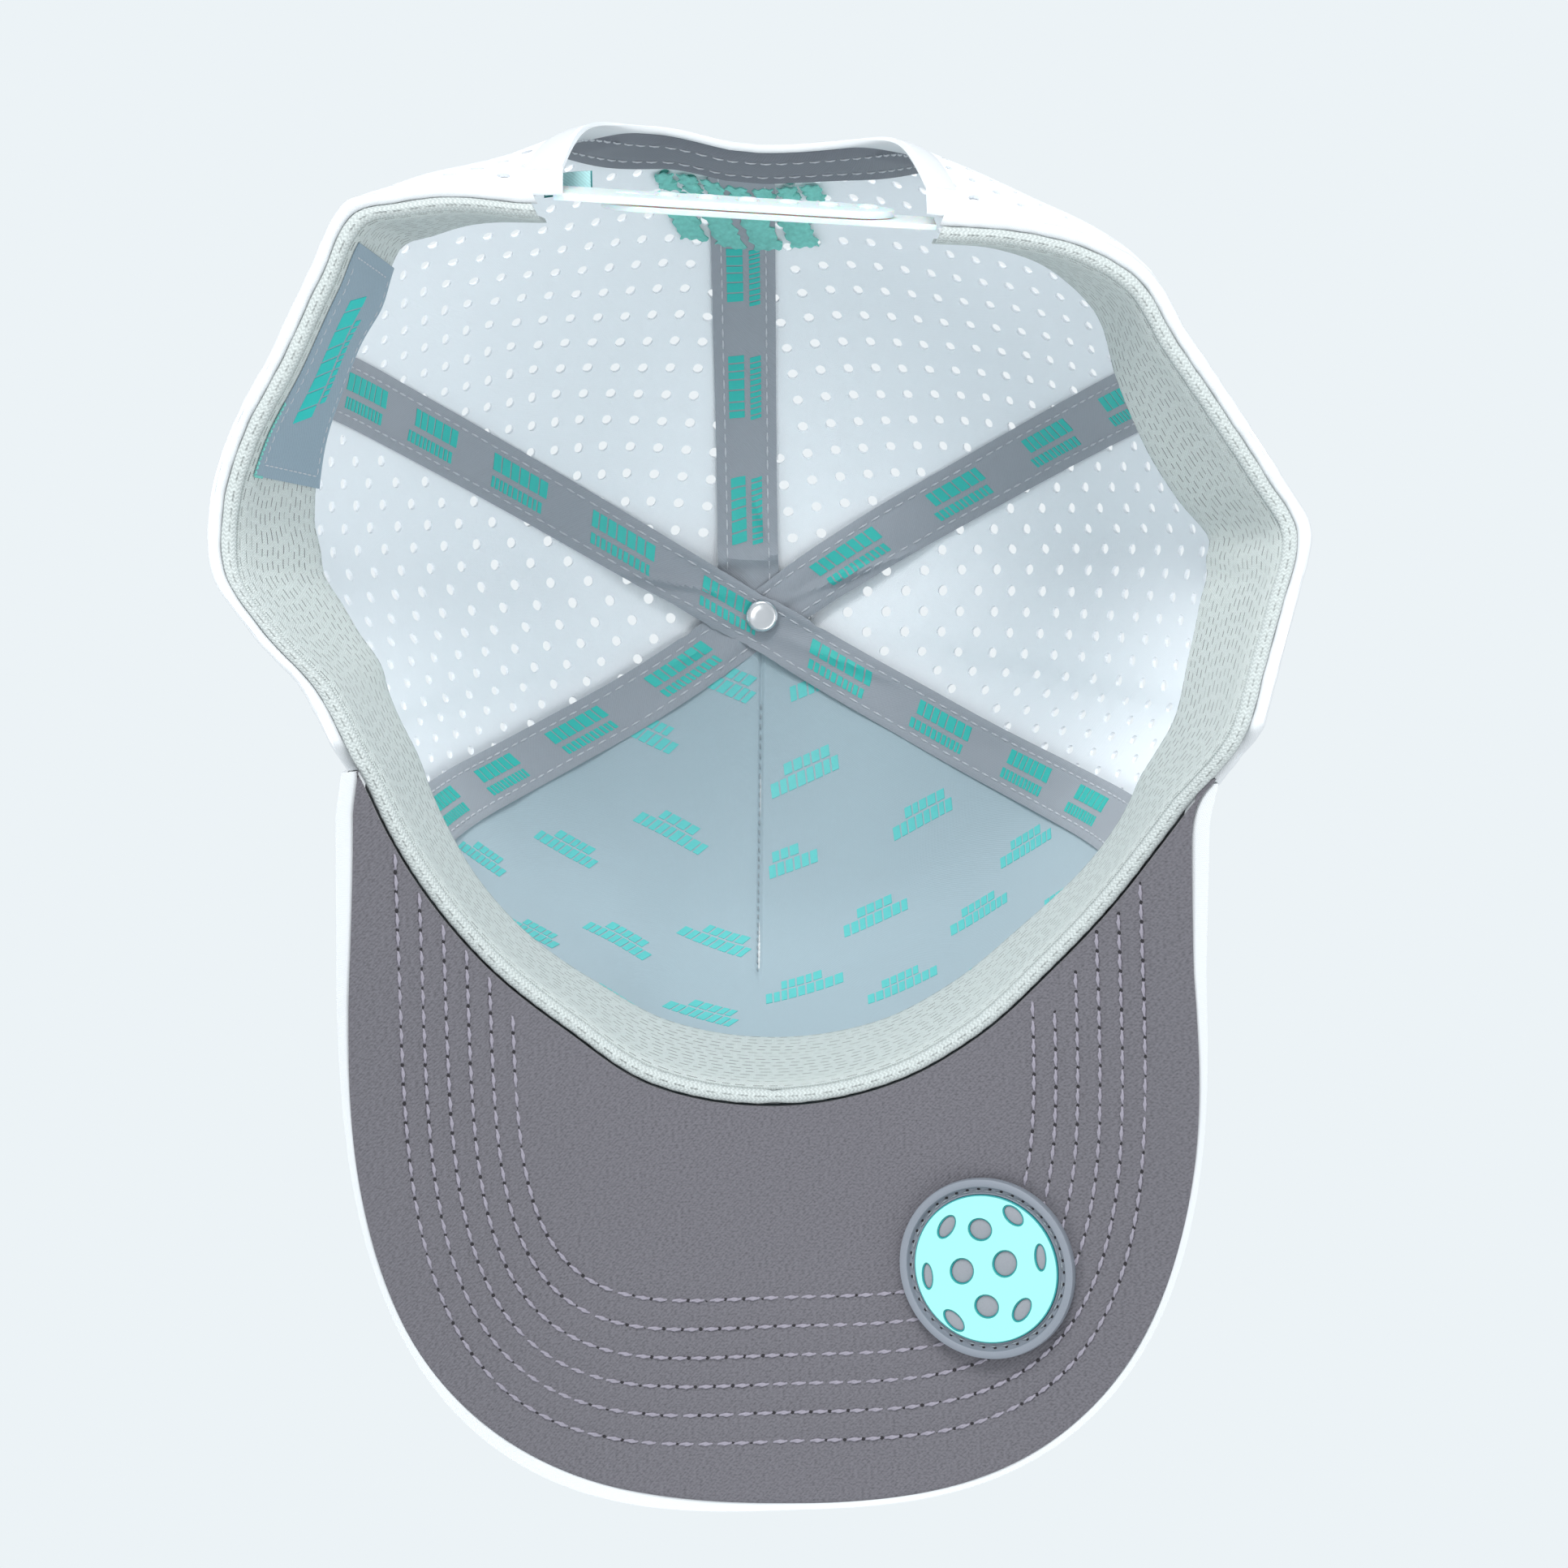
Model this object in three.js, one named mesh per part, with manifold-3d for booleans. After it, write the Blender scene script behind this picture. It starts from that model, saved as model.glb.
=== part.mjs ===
// Five-panel snapback cap with a curved brim, in millimetres, +Z up through the top button.
// The origin is the middle of the head opening. The brim points along -Y, the closure along +Y.
import * as THREE from 'three';
import Module from 'manifold-3d';

const wasm = await Module();
wasm.setup();

const RAD = Math.PI / 180;
const GAP = 0.3;                  // air left between neighbouring layers
const CROWN_TOP = 118;            // height of the outer shell at the button
const SHELL = 1.0;                // panel cloth, two plies
const BAND_HEIGHT = 26;           // sweatband, rolled edge to free edge
const BRIM_RADIUS = 120;          // bend of the brim, seen from the front
const BRIM_TILT = 0.10;           // rise per mm towards the crown
const BRIM_Z = 12;                // underside height where the brim meets the crown centre
const BRIM_PLIES = [[0, 0.6], [0.85, 2.85], [3.1, 3.7]];
const CORNERS = [-14, -163.4];    // angles of the two brim corners, left then right
const ARCH_HALF = 36;
const ARCH_TOP = 50;
const ARCH_POWER = 3.6;
const ARCH_TAPER = 0.24;          // how much narrower the arch is at its top
const TAPE_HALF = 6.35;
const CLOSURE = [65, 115];        // angles where the band ends at the closure

// Outer edge of the rolled sweatband seen from below: angle in degrees, radius in mm.
const RIM = [
  [-90, 86.7], [-73.7, 84.8], [-61.2, 80.1], [-46.9, 77.5], [-34.8, 76.1], [-21.5, 75.7],
  [-13.9, 76.4], [-2.3, 81.3], [5, 91.2], [10.6, 99.2], [17.3, 102.1], [24.8, 102.7],
  [33.7, 102.5], [42.5, 105.4], [49.2, 109], [53.1, 105.3], [57, 101.3], [65, 92],
  [78, 84], [90, 80.5], [103, 81], [114.8, 84.7], [122.8, 89.8], [130.5, 94.7],
  [137.3, 97], [145, 95.1], [154.5, 95.8], [162.9, 98.4], [168.2, 100.9], [171, 99.8],
  [175.9, 95.5], [182.8, 91.1], [191.1, 88.1], [196.6, 84.9], [201.8, 82.2],
  [212.4, 80.1], [228.6, 80.1], [243.1, 83.3], [255, 85.8],
];
// How far the free edge of the sweatband leans in from the rim.
const LEAN = [
  [-90, 4.8], [-72, 4.4], [-58, 2.4], [-40, 2], [-28, 3], [-14, 4.4], [-5, 5.2], [2, 9.2],
  [9.6, 12.4], [17, 11], [24, 8.6], [31, 6.2], [38, 5.2], [45, 6], [57, 2.5], [65, 0.6],
  [90, 0.3], [115, 0.3], [127, 0.8], [137, 4.3], [150, 9.3], [160, 11.2], [170, 10.2],
  [180, 8], [190, 6.6], [197, 4.6], [207, 1.4], [215, 0.9], [224, 1.6], [239, 3], [253, 3.9],
];
// How far the crown bulges past the rim low down.
const BULGE = [
  [-90, 1], [-60, 2], [-30, 5], [-14, 7], [0, 6], [10, -1], [20, -3], [35, 2], [49, 8],
  [57, 20], [65, 34], [80, 53], [90, 48], [103, 48], [115, 36], [123, 24], [135, 12],
  [145, 8], [155, 5], [165, -1], [172, -1], [182, 3], [195, 6], [210, 4], [240, 2],
];
// Height of the lower profile handle and reach of the upper one.
const RISE = [[-90, 42], [-30, 50], [0, 50], [15, 50], [50, 42], [90, 40], [130, 42],
  [165, 50], [180, 50], [210, 50]];
const REACH = [[-90, 60], [-30, 66], [15, 68], [50, 68], [90, 62], [130, 68], [165, 68],
  [210, 66]];

// Smooth closed curve through rows of [angle, value].
function around(rows) {
  const count = rows.length;
  const at = (index) => {
    const turn = Math.floor(index / count);
    const row = rows[index - turn * count];
    return [row[0] + 360 * turn, row[1]];
  };
  const slope = (index) => {
    const [before, after] = [at(index - 1), at(index + 1)];
    return (after[1] - before[1]) / (after[0] - before[0]);
  };
  return (angle) => {
    let degrees = angle;
    while (degrees < rows[0][0]) degrees += 360;
    while (degrees >= rows[0][0] + 360) degrees -= 360;
    let index = 0;
    while (at(index + 1)[0] <= degrees) index += 1;
    const [a, b] = [at(index), at(index + 1)];
    const width = b[0] - a[0];
    const s = (degrees - a[0]) / width;
    const [s2, s3] = [s * s, s * s * s];
    return a[1] * (2 * s3 - 3 * s2 + 1) + b[1] * (3 * s2 - 2 * s3)
      + slope(index) * width * (s3 - 2 * s2 + s) + slope(index + 1) * width * (s3 - s2);
  };
}
const rimRadius = around(RIM);
const lean = around(LEAN);
const bulge = around(BULGE);
const rise = around(RISE);
const reach = around(REACH);

function ease(low, high, value) {
  const s = Math.min(1, Math.max(0, (value - low) / (high - low)));
  return s * s * (3 - 2 * s);
}
// Angle away from the middle of the front, 0 to 180.
function fromFront(angle) {
  const turn = (((angle + 90) % 360) + 540) % 360 - 180;
  return Math.abs(turn);
}
function brimSecant(x) {
  return BRIM_RADIUS / Math.sqrt(BRIM_RADIUS ** 2 - Math.min(Math.abs(x), 100) ** 2);
}
function brimHeight(x, y) {
  const sag = BRIM_RADIUS - BRIM_RADIUS / brimSecant(x);
  return BRIM_Z + BRIM_TILT * (y + 83) - sag;
}
// Height of the rolled edge: it lies on the brim in front and runs level behind it.
function rimHeight(angle) {
  const radius = rimRadius(angle);
  const under = brimHeight(radius * Math.cos(angle * RAD), radius * Math.sin(angle * RAD));
  return under * (1 - ease(75, 106, fromFront(angle)));
}
function shellFoot(angle) {
  const onBrim = 1 - ease(76.5, 81, fromFront(angle));
  const x = rimRadius(angle) * Math.cos(angle * RAD);
  return rimHeight(angle) + 0.3 + onBrim * 3.7 * brimSecant(x);
}
// Crown profile: q = 1 at the foot, 0 at the button.
function profile(angle, q) {
  const t = 1 - q;
  const foot = [rimRadius(angle) + 2.3, shellFoot(angle)];
  const low = [foot[0] + bulge(angle), foot[1] + rise(angle)];
  const weights = [q ** 3, 3 * t * q * q, 3 * t * t * q, t ** 3];
  const radius = weights[0] * foot[0] + weights[1] * low[0] + weights[2] * reach(angle);
  const height = weights[0] * foot[1] + weights[1] * low[1]
    + (weights[2] + weights[3]) * CROWN_TOP;
  return [radius, height];
}
// The crown is mapped from a unit disc: (u, v) has angle and q as polar coordinates.
function crownRaw(u, v) {
  const q = Math.hypot(u, v);
  const angle = Math.atan2(v, u) / RAD;
  const [radius, height] = profile(angle, q);
  return new THREE.Vector3(
    radius * (q > 0 ? u / q : 1), radius * (q > 0 ? v / q : 0), height);
}
// Point of the crown at a depth below its outer face.
function crown(angle, q, depth) {
  const [u, v] = [q * Math.cos(angle * RAD), q * Math.sin(angle * RAD)];
  const step = 1e-3;
  const alongU = crownRaw(u + step, v).sub(crownRaw(u - step, v));
  const alongV = crownRaw(u, v + step).sub(crownRaw(u, v - step));
  const normal = alongU.cross(alongV).normalize();
  return crownRaw(u, v).addScaledVector(normal, -depth);
}
// Disc point at a sideways distance from a spoke; q may run past the middle.
function besideSpoke(angle, q, sideways) {
  const size = Math.max(Math.abs(q), 0.004);
  const facing = q < 0 ? angle + 180 : angle;
  const shift = sideways * size / Math.max(profile(facing, size)[0], 0.1);
  const u = q * Math.cos(angle * RAD) - shift * Math.sin(angle * RAD);
  const v = q * Math.sin(angle * RAD) + shift * Math.cos(angle * RAD);
  return [Math.atan2(v, u) / RAD, Math.hypot(u, v)];
}

// Closed solid from two matching grids of points; wrap joins the last row to the first.
function layered(outer, inner, wrap = false) {
  const rows = outer.length;
  const columns = outer[0].length;
  const points = [...outer.flat(), ...inner.flat()];
  const half = rows * columns;
  const faces = [];
  const quad = (a, b, c, d) => faces.push(a, b, c, a, c, d);
  const id = (i, j) => (i % rows) * columns + j;
  const last = wrap ? rows : rows - 1;
  for (let i = 0; i < last; i += 1) {
    for (let j = 0; j < columns - 1; j += 1) {
      quad(id(i, j), id(i + 1, j), id(i + 1, j + 1), id(i, j + 1));
      quad(half + id(i, j), half + id(i, j + 1), half + id(i + 1, j + 1), half + id(i + 1, j));
    }
    quad(id(i, 0), half + id(i, 0), half + id(i + 1, 0), id(i + 1, 0));
    const end = columns - 1;
    quad(id(i, end), id(i + 1, end), half + id(i + 1, end), half + id(i, end));
  }
  if (!wrap) {
    for (let j = 0; j < columns - 1; j += 1) {
      quad(id(0, j), id(0, j + 1), half + id(0, j + 1), half + id(0, j));
      quad(id(rows - 1, j), half + id(rows - 1, j), half + id(rows - 1, j + 1),
        id(rows - 1, j + 1));
    }
  }
  return faced(points, faces);
}
// Tube through rings of points, closed with a fan at both ends.
function tube(rings) {
  const around_ = rings[0].length;
  const points = rings.flat();
  const faces = [];
  for (let i = 0; i < rings.length - 1; i += 1) {
    for (let j = 0; j < around_; j += 1) {
      const k = (j + 1) % around_;
      const [a, b] = [i * around_ + j, i * around_ + k];
      faces.push(a, a + around_, b + around_, a, b + around_, b);
    }
  }
  const last = (rings.length - 1) * around_;
  for (let j = 1; j < around_ - 1; j += 1) {
    faces.push(0, j, j + 1, last, last + j + 1, last + j);
  }
  return faced(points, faces);
}
// Geometry with its faces turned outwards.
function faced(points, faces) {
  let volume = 0;
  for (let i = 0; i < faces.length; i += 3) {
    const [a, b, c] = [points[faces[i]], points[faces[i + 1]], points[faces[i + 2]]];
    volume += a.dot(b.clone().cross(c));
  }
  const index = [];
  for (let i = 0; i < faces.length; i += 3) {
    if (volume > 0) index.push(faces[i], faces[i + 1], faces[i + 2]);
    else index.push(faces[i], faces[i + 2], faces[i + 1]);
  }
  const geometry = new THREE.BufferGeometry();
  const positions = points.flatMap((point) => [point.x, point.y, point.z]);
  geometry.setAttribute('position', new THREE.Float32BufferAttribute(positions, 3));
  geometry.setIndex(index);
  return geometry;
}
function toSolid(geometry) {
  const mesh = new wasm.Mesh({
    numProp: 3,
    vertProperties: new Float32Array(geometry.attributes.position.array),
    triVerts: new Uint32Array(geometry.index.array),
  });
  mesh.merge();
  return new wasm.Manifold(mesh);
}
function fromSolid(solid) {
  const mesh = solid.getMesh();
  const geometry = new THREE.BufferGeometry();
  geometry.setAttribute('position', new THREE.Float32BufferAttribute(mesh.vertProperties, 3));
  geometry.setIndex(Array.from(mesh.triVerts));
  return geometry;
}
function drum(radius, low, high, x = 0, y = 0, sides = 24) {
  return wasm.Manifold.cylinder(high - low, radius, radius, sides).translate([x, y, low]);
}
function steps(from, to, count) {
  return Array.from({ length: count + 1 }, (_, i) => from + (to - from) * i / count);
}

const COLOURS = {
  shell: 0xf4f6f8, lining: 0xa8b9c1, buckram: 0xe6e9ea, tape: 0x8c8f96, band: 0xc8d0cc,
  brim: 0x706c70, board: 0x3c3f42, label: 0x7d8f9b, teal: 0x36b8b0, metal: 0xc9ccd0,
  plastic: 0xf2f4f6, patch: 0x8c9199, mint: 0x96f5eb,
};
const group = new THREE.Group();
group.name = 'snapback_cap';
function put(name, geometry, colour, roughness = 0.9, metalness = 0) {
  geometry.computeVertexNormals();
  const material = new THREE.MeshStandardMaterial({ color: colour, roughness, metalness });
  material.name = `${name}_material`;
  const mesh = new THREE.Mesh(geometry, material);
  mesh.name = name;
  group.add(mesh);
}

// A crown layer between two seam angles. The seams keep a small gap all the way up.
function crownLayer(from, to, columns, rowsQ, depth, thick, seamGap = 0.15) {
  const grid = (deep) => steps(0, 1, columns).map((part) => rowsQ.map((q) => {
    const middle = (from + to) / 2;
    const radius = profile(middle, q)[0];
    const trim = Math.min(seamGap / radius / RAD, 20);
    const angle = Math.min(to - trim, Math.max(from + trim, from + (to - from) * part));
    return crown(angle, q, deep);
  }));
  return layered(grid(depth), grid(depth + thick));
}
const PANEL_ROWS = [1, 0.9, 0.8, 0.68, 0.56, 0.44, 0.32, 0.2, 0.1, 0.022];

// Front panel, its stiffener and the printed lining.
put('front_panel', crownLayer(-150, -30, 18, PANEL_ROWS, 0, SHELL), COLOURS.shell);
const innerRows = [0.985, 0.9, 0.8, 0.68, 0.56, 0.44, 0.32, 0.2, 0.1, 0.05];
put('front_buckram', crownLayer(-150, -30, 18, innerRows, SHELL + GAP, 0.7, 1.5),
  COLOURS.buckram);
put('front_lining', crownLayer(-150, -30, 18, innerRows, SHELL + 0.7 + 2 * GAP, 0.4, 0.5),
  COLOURS.lining);

// Side panels.
put('left_side_panel', crownLayer(-30, 30, 11, PANEL_ROWS, 0, SHELL), COLOURS.shell);
put('right_side_panel', crownLayer(150, 210, 11, PANEL_ROWS, 0, SHELL), COLOURS.shell);

// Rear panels, opened by the arch above the closure.
function archEdge(turn, outset) {
  const [c, s] = [Math.cos(turn), Math.sin(turn)];
  const part = Math.abs(s) ** (2 / ARCH_POWER);
  const across = Math.sign(c) * Math.abs(c) ** (2 / ARCH_POWER) 
    * (1 - ARCH_TAPER * part ** 0.6);
  return [(ARCH_HALF + outset) * across, (ARCH_TOP + outset) * part];
}
function archTool() {
  const outline = steps(0, Math.PI, 20).map((turn) => archEdge(turn, 0));
  outline.push([-ARCH_HALF, -20], [ARCH_HALF, -20]);
  const shape = new THREE.Shape(outline.map(([x, z]) => new THREE.Vector2(x, z)));
  const block = new THREE.ExtrudeGeometry(shape, { depth: 80, bevelEnabled: false });
  block.rotateX(Math.PI / 2);
  block.translate(0, 130, 0);
  const plain = new THREE.BufferGeometry();
  plain.setAttribute('position', block.attributes.position);
  plain.setIndex(Array.from({ length: block.attributes.position.count }, (_, i) => i));
  return toSolid(plain);
}
const rearRows = [1, 0.92, 0.84, 0.76, 0.68, 0.6, 0.5, 0.4, 0.3, 0.2, 0.1, 0.022];
const leftRear = toSolid(crownLayer(30, 90, 14, rearRows, 0, SHELL));
const rightRear = toSolid(crownLayer(90, 150, 14, rearRows, 0, SHELL));
put('left_rear_panel', fromSolid(leftRear.subtract(archTool())),
  COLOURS.shell);
put('right_rear_panel', fromSolid(rightRear.subtract(archTool())),
  COLOURS.shell);

// Seam tapes. Each follows a spoke of the crown; two of them run on across the top.
const TAPE = 0.45;
function tapeStrip(angle, stations, depthAt) {
  const across = [-TAPE_HALF, 0, TAPE_HALF];
  const grid = (extra) => stations.map((q) => across.map((sideways) => {
    const [at, size] = besideSpoke(angle, q, sideways);
    return crown(at, size, depthAt(q) + extra);
  }));
  return toSolid(layered(grid(0), grid(TAPE)));
}
const underLayers = SHELL + 0.7 + 0.4 + 3 * GAP;
const rearDepth = SHELL + 0.55;
const lowerDepth = underLayers + 0.35;
const upperDepth = lowerDepth + TAPE + 0.3;
const shaftHole = drum(1.9, 100, 130);
const crossing = [0.97, 0.88, 0.78, 0.68, 0.56, 0.44, 0.32, 0.22, 0.13, 0.05,
  -0.05, -0.13, -0.22, -0.32, -0.44, -0.56, -0.68, -0.8];
const settle = (deep) => (q) => (
  q > 0 ? rearDepth + (deep - rearDepth) * (1 - ease(0.12, 0.3, q)) : deep);
const rearStations = [0.62, 0.5, 0.4, 0.3, 0.2, 0.1];
put('rear_seam_tape', fromSolid(tapeStrip(90, rearStations, () => rearDepth)),
  COLOURS.tape);
put('lower_cross_tape',
  fromSolid(tapeStrip(150, crossing, settle(lowerDepth)).subtract(shaftHole)),
  COLOURS.tape);
put('upper_cross_tape',
  fromSolid(tapeStrip(30, crossing, settle(upperDepth)).subtract(shaftHole)),
  COLOURS.tape);

// Disc point of the crown that has a given x and height, for the arch edge.
function findOnRear(x, z) {
  let [angle, low, high] = [Math.atan2(95, x) / RAD, 0.35, 1];
  for (let pass = 0; pass < 12; pass += 1) {
    [low, high] = [0.3, 1];
    for (let cut = 0; cut < 30; cut += 1) {
      const middle = (low + high) / 2;
      if (profile(angle, middle)[1] > z) low = middle;
      else high = middle;
    }
    const radius = profile(angle, low)[0];
    angle = Math.acos(Math.max(-1, Math.min(1, x / radius))) / RAD;
  }
  return [angle, low];
}
// Tape that binds the arch, laid inside the rear panels.
function archPoint(turn, outset, depth) {
  const [angle, q] = findOnRear(...archEdge(turn, outset));
  return crown(angle, q, depth);
}
const archTurns = steps(0.02, Math.PI - 0.02, 26).map(
  (turn) => turn - 0.22 * Math.sin(2 * turn) * 0.6);
const archRows = [1.8, 7.5, 13.2];
const archGrid = (depth) => archTurns.map((turn) => archRows.map(
  (outset) => archPoint(turn, outset, depth)));
const archTapeDepth = rearDepth + TAPE + 0.8;
put('arch_tape', layered(archGrid(archTapeDepth), archGrid(archTapeDepth + TAPE)),
  COLOURS.tape);

// Sweatband: a soft strip leaning inwards, its rolled edge, and the woven label on it.
function bandPoint(angle, part, inset) {
  const radius = rimRadius(angle) - 1.6 - lean(angle) * part ** 1.1 - inset;
  const height = rimHeight(angle) + 2.6 + BAND_HEIGHT * part;
  return new THREE.Vector3(radius * Math.cos(angle * RAD), radius * Math.sin(angle * RAD),
    height);
}
const bandAngles = steps(CLOSURE[0], CLOSURE[1] - 360, 64);
const bandParts = [0, 0.5, 1];
const bandGrid = (inset) => bandAngles.map((angle) => bandParts.map(
  (part) => bandPoint(angle, part, inset)));
put('sweatband', layered(bandGrid(0), bandGrid(1)), COLOURS.band);
const rolled = bandAngles.map((angle) => steps(0, 300, 5).map((turn) => {
  const radius = rimRadius(angle) - 1.2 + 1.2 * Math.cos(turn * RAD);
  const height = rimHeight(angle) + 0.9 + 1.2 * Math.sin(turn * RAD);
  return new THREE.Vector3(radius * Math.cos(angle * RAD), radius * Math.sin(angle * RAD),
    height);
}));
put('sweatband_edge', tube(rolled), COLOURS.band);
const labelAngles = bandAngles.slice(4, 10);
const labelGrid = (inset) => labelAngles.map((angle) => [0.04, 0.5, 1].map(
  (part) => bandPoint(angle, part, inset)));
put('sweatband_label', layered(labelGrid(1.35), labelGrid(1.75)), COLOURS.label);

// Brim: a bent board between two cloth covers. Stations run from left corner to right.
const BRIM_A = 77.9;
const BRIM_B = 102.4;
const BRIM_POWER = 2.6;
const BRIM_MIDDLE = -60;
const BRIM_STATIONS = 34;
function brimOutline(offset) {
  const curve = steps(0, Math.PI, 60).map((turn) => {
    const [c, s] = [Math.cos(turn), Math.sin(turn)];
    const power = 2 / BRIM_POWER;
    return [(BRIM_A + offset) * Math.sign(c) * Math.abs(c) ** power,
      BRIM_MIDDLE - (BRIM_B + offset) * Math.abs(s) ** power];
  });
  const path = [[75.8 + offset, -18.5], [77 + offset, -26], ...curve,
    [-79.3 - offset, -32], [-80.9 - offset, -25.2]];
  return evenly(path, BRIM_STATIONS);
}
function evenly(path, count) {
  const lengths = [0];
  for (let i = 1; i < path.length; i += 1) {
    const step = Math.hypot(path[i][0] - path[i - 1][0], path[i][1] - path[i - 1][1]);
    lengths.push(lengths[i - 1] + step);
  }
  return steps(0, lengths[lengths.length - 1], count).map((target) => {
    let i = 1;
    while (i < lengths.length - 1 && lengths[i] < target) i += 1;
    const s = (target - lengths[i - 1]) / (lengths[i] - lengths[i - 1]);
    return [0, 1].map((k) => path[i - 1][k] + (path[i][k] - path[i - 1][k]) * s);
  });
}
const innerPath = evenly(steps(CORNERS[0], CORNERS[1], 90).map((angle) => {
  const radius = rimRadius(angle) + 0.3;
  return [radius * Math.cos(angle * RAD), radius * Math.sin(angle * RAD)];
}), BRIM_STATIONS);
function brimPoint(x, y, height) {
  return new THREE.Vector3(x, y, brimHeight(x, y) + height * brimSecant(x));
}
function brimRows(offset, parts, heights) {
  const edge = brimOutline(offset);
  return edge.map((out, i) => parts.map((part, j) => {
    const x = innerPath[i][0] + (out[0] - innerPath[i][0]) * part;
    const y = innerPath[i][1] + (out[1] - innerPath[i][1]) * part;
    return brimPoint(x, y, heights[j]);
  }));
}
const brimParts = [0, 0.34, 0.67, 1];
function flat(height) {
  return brimParts.map(() => height);
}
put('brim_under_cover', layered(brimRows(0, brimParts, flat(BRIM_PLIES[0][0])),
  brimRows(0, brimParts, flat(BRIM_PLIES[0][1]))), COLOURS.brim);
put('brim_board', layered(brimRows(-0.6, brimParts, flat(BRIM_PLIES[1][0])),
  brimRows(-0.6, brimParts, flat(BRIM_PLIES[1][1]))), COLOURS.board);
// The top cover turns down over the edge of the board.
const [coverLow, coverHigh] = BRIM_PLIES[2];
const coverTop = brimRows(1.5, brimParts, flat(coverHigh));
const coverEdge = brimRows(1.5, [1], [0.1]);
const coverUnder = brimRows(0.5, brimParts, flat(coverLow));
const coverHem = brimRows(0.5, [1], [0.1]);
put('brim_top_cover', layered(
  coverTop.map((row, i) => [...row, coverEdge[i][0]]),
  coverUnder.map((row, i) => [...row, coverHem[i][0]])), COLOURS.shell);

// Round badge under the brim: a ring-edged backing and a raised face.
const BADGE = [-39.2, -117];
function badgeFrame() {
  const [x, y] = BADGE;
  const centre = brimPoint(x, y, 0);
  const right = brimPoint(x - 1, y, 0).sub(centre).normalize();
  const back = brimPoint(x, y + 1, 0).sub(centre).normalize();
  const down = right.clone().cross(back).normalize();
  if (down.z > 0) down.negate();
  return [centre, right, back, down];
}
const [badgeCentre, badgeRight, badgeBack, badgeDown] = badgeFrame();
const BADGE_SAG = 1.35;           // the brim curves away from the flat badge at its rim
function badgeRing(radius, drop, count = 28) {
  return steps(0, 360 - 360 / count, count - 1).map((turn) => badgeCentre.clone()
    .addScaledVector(badgeRight, radius * Math.cos(turn * RAD))
    .addScaledVector(badgeBack, radius * Math.sin(turn * RAD))
    .addScaledVector(badgeDown, drop));
}
put('patch_base', tube([badgeRing(16.5, BADGE_SAG), badgeRing(16.8, BADGE_SAG + 0.4),
  badgeRing(16.8, BADGE_SAG + 1.6), badgeRing(16.2, BADGE_SAG + 2.1),
  badgeRing(15.3, BADGE_SAG + 2.1), badgeRing(14.8, BADGE_SAG + 1.1)]), COLOURS.patch);
put('patch_face', tube([badgeRing(14.1, BADGE_SAG + 1.35), badgeRing(14.1, BADGE_SAG + 2.1),
  badgeRing(13.6, BADGE_SAG + 2.4)]), COLOURS.mint, 0.6);

// Closure: the stud strap lies inside, the hole strap outside.
const STRAP_Z = [1.5, 17.5];
const STRAP_THICK = 1.3;
const PITCH = 7.4;
const LINE = { x: -0.3, y: 80.4, lean: 0.093 };
const STRAP_LEAN = 8;             // degrees that the upper edge leans outwards
function strapFrame(geometry) {
  geometry.rotateX(-STRAP_LEAN * RAD);
  geometry.rotateZ(Math.atan(LINE.lean));
  geometry.translate(LINE.x, LINE.y, 0);
  return geometry;
}
// Strap outline in its own length and height, with one round end.
function strapPlate(from, to, back, front) {
  const middle = (STRAP_Z[0] + STRAP_Z[1]) / 2;
  const radius = (STRAP_Z[1] - STRAP_Z[0]) / 2;
  const way = Math.sign(to - from);
  const shape = [[from, STRAP_Z[0]]];
  steps(-90, 90, 12).forEach((turn) => {
    shape.push([to - way * radius + way * radius * Math.cos(turn * RAD),
      middle + radius * Math.sin(turn * RAD)]);
  });
  shape.push([from, STRAP_Z[1]]);
  const ring = (y) => shape.map(([x, z]) => new THREE.Vector3(x, y, z));
  return toSolid(tube([ring(back), ring(front)]));
}
function peg(x, radius, from, to) {
  const middle = (STRAP_Z[0] + STRAP_Z[1]) / 2;
  return wasm.Manifold.cylinder(to - from, radius, radius, 14)
    .rotate([-90, 0, 0]).translate([x, from, middle]);
}
const studFront = -1.6;
const holeBack = studFront + STRAP_THICK + 0.3;
const places = steps(-22.2, 22.2, 6);
let studStrap = strapPlate(-34.6, 26.9, studFront, studFront + STRAP_THICK);
let holeStrap = strapPlate(35.4, -26.9, holeBack, holeBack + STRAP_THICK);
const pegTop = holeBack + STRAP_THICK + 0.6;
places.slice(0, 6).forEach((x) => {
  studStrap = studStrap.add(peg(x, 1.9, studFront + 0.5, pegTop));
});
places.forEach((x) => {
  holeStrap = holeStrap.subtract(peg(x, 2.35, holeBack - 1, pegTop + 1));
});
put('stud_strap', strapFrame(fromSolid(studStrap)), COLOURS.plastic, 0.45);
put('hole_strap', strapFrame(fromSolid(holeStrap)), COLOURS.plastic, 0.45);

// Folded flag label sewn to the left side of the arch.
const flagAngles = [69.2, 67.8, 66.4];
const flagGrid = (deep) => flagAngles.map((angle) => [0, 1].map(
  (part) => crown(angle, 0.86 - 0.06 * part, deep)));
put('flag_label', layered(flagGrid(archTapeDepth + 1.1), flagGrid(archTapeDepth + 1.5)),
  COLOURS.teal);

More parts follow.
